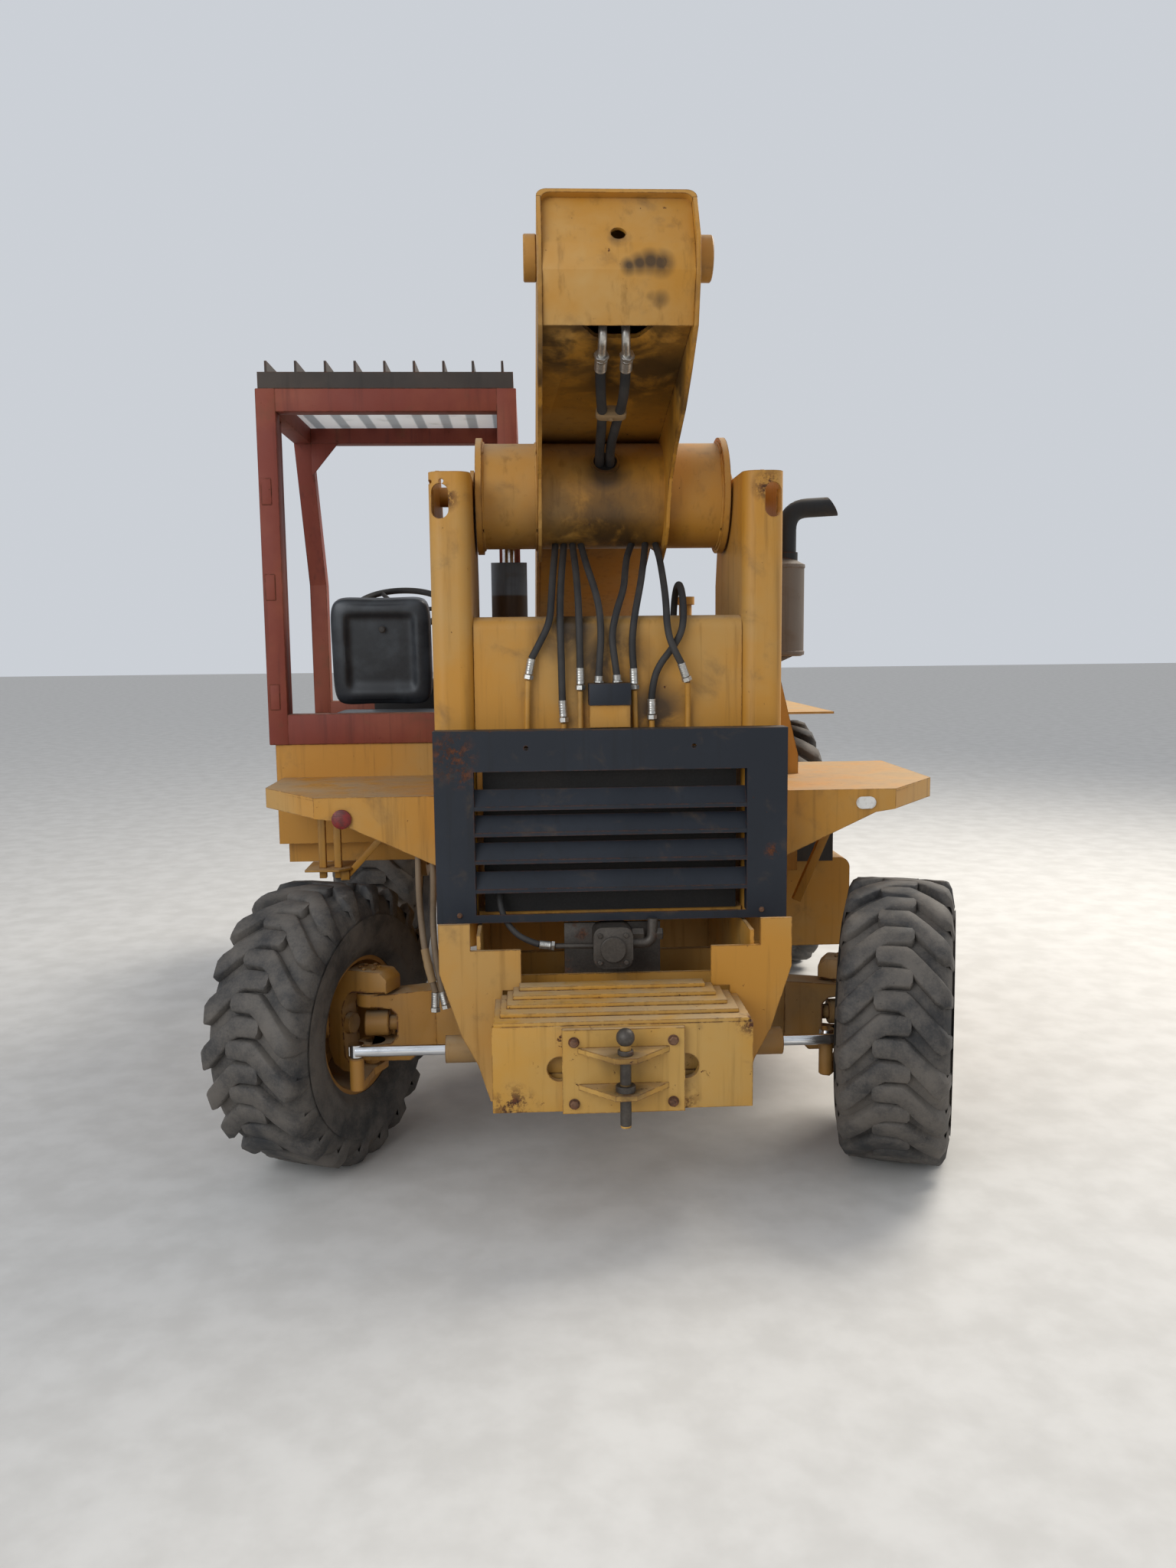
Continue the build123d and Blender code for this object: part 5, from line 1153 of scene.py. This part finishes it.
def make_knuckle(name, side, degrees):
    """A C-shaped knuckle with the kingpin, the hub's spindle and the steering arm."""
    turn = math.radians(degrees)
    out = Vector((side * math.cos(turn), side * math.sin(turn), 0))
    fore = Vector((-math.sin(turn), math.cos(turn), 0))
    king = Vector((side * KING_X, AXLE_Y, AXLE_Z))
    bm = bmesh.new()
    shape = [(-86, 122), (-86, 166), (-62, 190), (58, 190), (112, 164), (136, 108), (138, -72), (118, -128),
             (82, -150), (-34, -150), (-34, -122), (60, -122), (78, -100), (86, 58), (64, 110), (42, 122)]
    across = fore * 0.045
    near = [king + out * (a / 1000) + Vector((0, 0, z / 1000)) for a, z in shape]
    prism(bm, [p - across for p in near], [p + across for p in near], 0.006)
    up = Vector((0, 0, 0.001))
    for z0, z1 in ((-123, -50), (70, 123)):
        bar(bm, king + up * z0, king + up * z1, 24)
    bar(bm, king + out * 0.062, king + out * 0.090, 34)
    bar(bm, king + out * 0.130, king + out * 0.1965, 60)
    end = king - fore * 0.165 - out * 0.045
    strut(bm, king + up * -137, end + up * -137, 40, 26)
    bar(bm, end + up * -150, end + up * -47, 22)
    for a in range(0, 360, 60):
        place = king + Vector((0.03 * math.cos(math.radians(a)), 0.03 * math.sin(math.radians(a)), 0))
        bolt(bm, place + up * 190, (0, 0, 1), 0.014, washer=False)
    body = f"knuckle_{name}"
    stand_in(f"{body}_cast", bm, "axle", body, body, smooth=40)


def make_rim(name, centre, out, rim_r, width, studs):
    """A rim with flanges, a drop centre, its dish, hub and nuts."""
    half = width / 2
    seat, disc = 0.72 * half, math.copysign(half * 0.35, centre.x)
    lean = math.copysign(0.010, centre.x)
    bm = bmesh.new()
    right = [(seat - 0.002, rim_r), (seat + 0.004, rim_r + 0.016), (seat + 0.012, rim_r + 0.012),
             (seat + 0.006, rim_r - 0.014), (0.55 * half, rim_r - 0.018), (0.3 * half, rim_r - 0.030)]
    spin(bm, right + [(-a, r) for a, r in reversed(right)], centre, out, steps=72, closed=True)
    dish = [(-0.008, rim_r - 0.028), (-lean, rim_r * 0.62), (-0.008, 0.10), (-0.030, 0.085), (-0.030, 0.001),
            (0.030, 0.001), (0.030, 0.085), (0.008, 0.10), (0.016 - lean, rim_r * 0.62),
            (0.008, rim_r - 0.028)]
    spin(bm, [(disc + a, r) for a, r in dish], centre, out, steps=60, closed=True)
    body = f"wheel_{name}"
    stand_in(f"wheel_rim_{name}", bm, "rim", f"rim_{name}", body)
    nuts = bmesh.new()
    for i in range(studs):
        spoke = Matrix.Rotation(TURN * i / studs, 3, out) @ Vector((0, 0, 1))
        for way in (-1, 1):
            bolt(nuts, centre + out * (disc + way * 0.006) + spoke * rim_r * 0.56, out * way, 0.027)
    add_piece(f"nuts_{name}", nuts, "rusty", body, smooth=20)


# a lug from its tip to its shoulder: leading edge across and round, trailing edge across and round
LUG = ((-0.315, 0.012, -0.315, 0.046), (-0.27, 0.001, -0.27, 0.058), (0.0, 0.0, -0.05, 0.058),
       (0.20, 0.0, 0.10, 0.060), (0.30, 0.012, 0.19, 0.070), (0.55, 0.056, 0.44, 0.118),
       (0.79, 0.100, 0.69, 0.166), (0.875, 0.118, 0.81, 0.177))
LUG_PITCH = 0.1414


def make_tyre(name, centre, out, radius, width, rim_r, pitch_count, top_scale):
    """A worn industrial tyre: body, sidewall rings and bent lugs that lock in the middle."""
    half = width / 2
    bm = bmesh.new()
    deep = 0.026 * top_scale

    def base_r(a):
        t = min(abs(a) / half, 1.0)
        return radius - deep - 0.010 * t * t - max(0.0, t - 0.80) * 0.28 * top_scale

    def top_r(a):
        t = abs(a) / half
        return radius - 0.004 * t * t - max(0.0, t - 0.82) * 0.10

    def place(a, s, r):
        return centre + out * a + Matrix.Rotation(s / radius, 3, out) @ Vector((0, 0, 1)) * r

    wall = [(0.97, radius - 0.105 * top_scale), (1.0, (radius + rim_r) / 2 + 0.02), (0.985, rim_r + 0.075),
            (0.955, rim_r + 0.062), (0.96, rim_r + 0.050), (0.93, rim_r + 0.030), (0.84, rim_r + 0.014),
            (0.80, rim_r), (0.72, rim_r + 0.0004)]
    tread = [(i / 8 * 0.94 * half, base_r(i / 8 * 0.94 * half)) for i in range(-8, 9)]
    left = [(-a * half, r) for a, r in reversed(wall)]
    right = [(a * half, r) for a, r in wall]
    spin(bm, left + tread + right, centre, out, steps=96, closed=True)
    pitch = TURN * radius / pitch_count
    stretch = pitch / LUG_PITCH
    for hand in (-1, 1):
        for i in range(pitch_count):
            start = (i + (0.5 if hand > 0 else 0.0)) * pitch
            rows = []
            for step, (la, ls, ta, ts) in enumerate(LUG):
                la, ta = la * half * hand, ta * half * hand
                ls, ts = start + ls * stretch, start + ts * stretch
                chip = 0.0016 * noise.noise(Vector((i * 1.7, step * 0.9, hand * 3.1)))
                lead, trail = top_r(la) + chip, top_r(ta) + chip
                rows.append([
                    place(la, ls - 0.007, base_r(la) - 0.006), place(la, ls, lead - 0.004),
                    place(la + (ta - la) * 0.1, ls + 0.005, lead),
                    place((la + ta) / 2, (ls + ts) / 2, (lead + trail) / 2),
                    place(ta - (ta - la) * 0.1, ts - 0.005, trail), place(ta, ts, trail - 0.004),
                    place(ta, ts + 0.007, base_r(ta) - 0.006)])
            # the block's end runs down the shoulder
            for a, s0, s1, drop in ((0.93, 0.126, 0.172, 0.030), (0.985, 0.132, 0.168, 0.085)):
                a = a * half * hand
                s0, s1 = start + s0 * stretch, start + s1 * stretch
                r = radius - drop * top_scale
                low = r - 0.016
                rows.append([
                    place(a * 0.98, s0 - 0.006, low), place(a, s0, r), place(a, s0 + 0.005, r + 0.002),
                    place(a, (s0 + s1) / 2, r + 0.002), place(a, s1 - 0.005, r + 0.002), place(a, s1, r),
                    place(a * 0.98, s1 + 0.006, low)])
            made = skin(bm, rows)
            first, last = made[0], made[-1]
            bm.faces.new(first[::-1] if hand > 0 else first)
            bm.faces.new(last if hand > 0 else last[::-1])
    stand_in(f"tread_{name}", bm, "tyre", f"tyre_{name}", f"wheel_{name}", smooth=50)


def make_wheels():
    """The steered rear wheels on their knuckles, and the front wheels."""
    for name, side, degrees in (("left", -1, -24.0), ("right", 1, -19.5)):
        turn = math.radians(degrees)
        reach = side * 0.167
        centre = Vector((side * KING_X + reach * math.cos(turn), AXLE_Y + reach * math.sin(turn), AXLE_Z))
        out = Vector((math.cos(turn), math.sin(turn), 0))
        make_tyre(f"rear_{name}", centre, out, 0.450, 0.343, 0.2223, 20, 1.0)
        make_rim(f"rear_{name}", centre, out, 0.222, 0.343, 8)
        make_knuckle(name, side, degrees)
    for name, x in (("front_left", -0.985), ("front_right", 0.985)):
        centre, out = Vector((x, AXLE_Y + WHEELBASE, 0.625)), Vector((1, 0, 0))
        make_tyre(name, centre, out, 0.625, 0.400, 0.3183, 24, 1.25)
        make_rim(name, centre, out, 0.318, 0.400, 10)


make_camera()
make_shared_groups()
MATS = make_materials()
make_hoses()
make_stage()
dress_nodes()
make_fittings()
make_pipes()
make_boom()
make_elbows()
make_weight()
make_cab()
make_seat()
make_steering_wheel()
make_exhaust()
make_shelf_braces()
make_lamps()
make_pump()
make_axle()
make_wheels()
make_bolts()
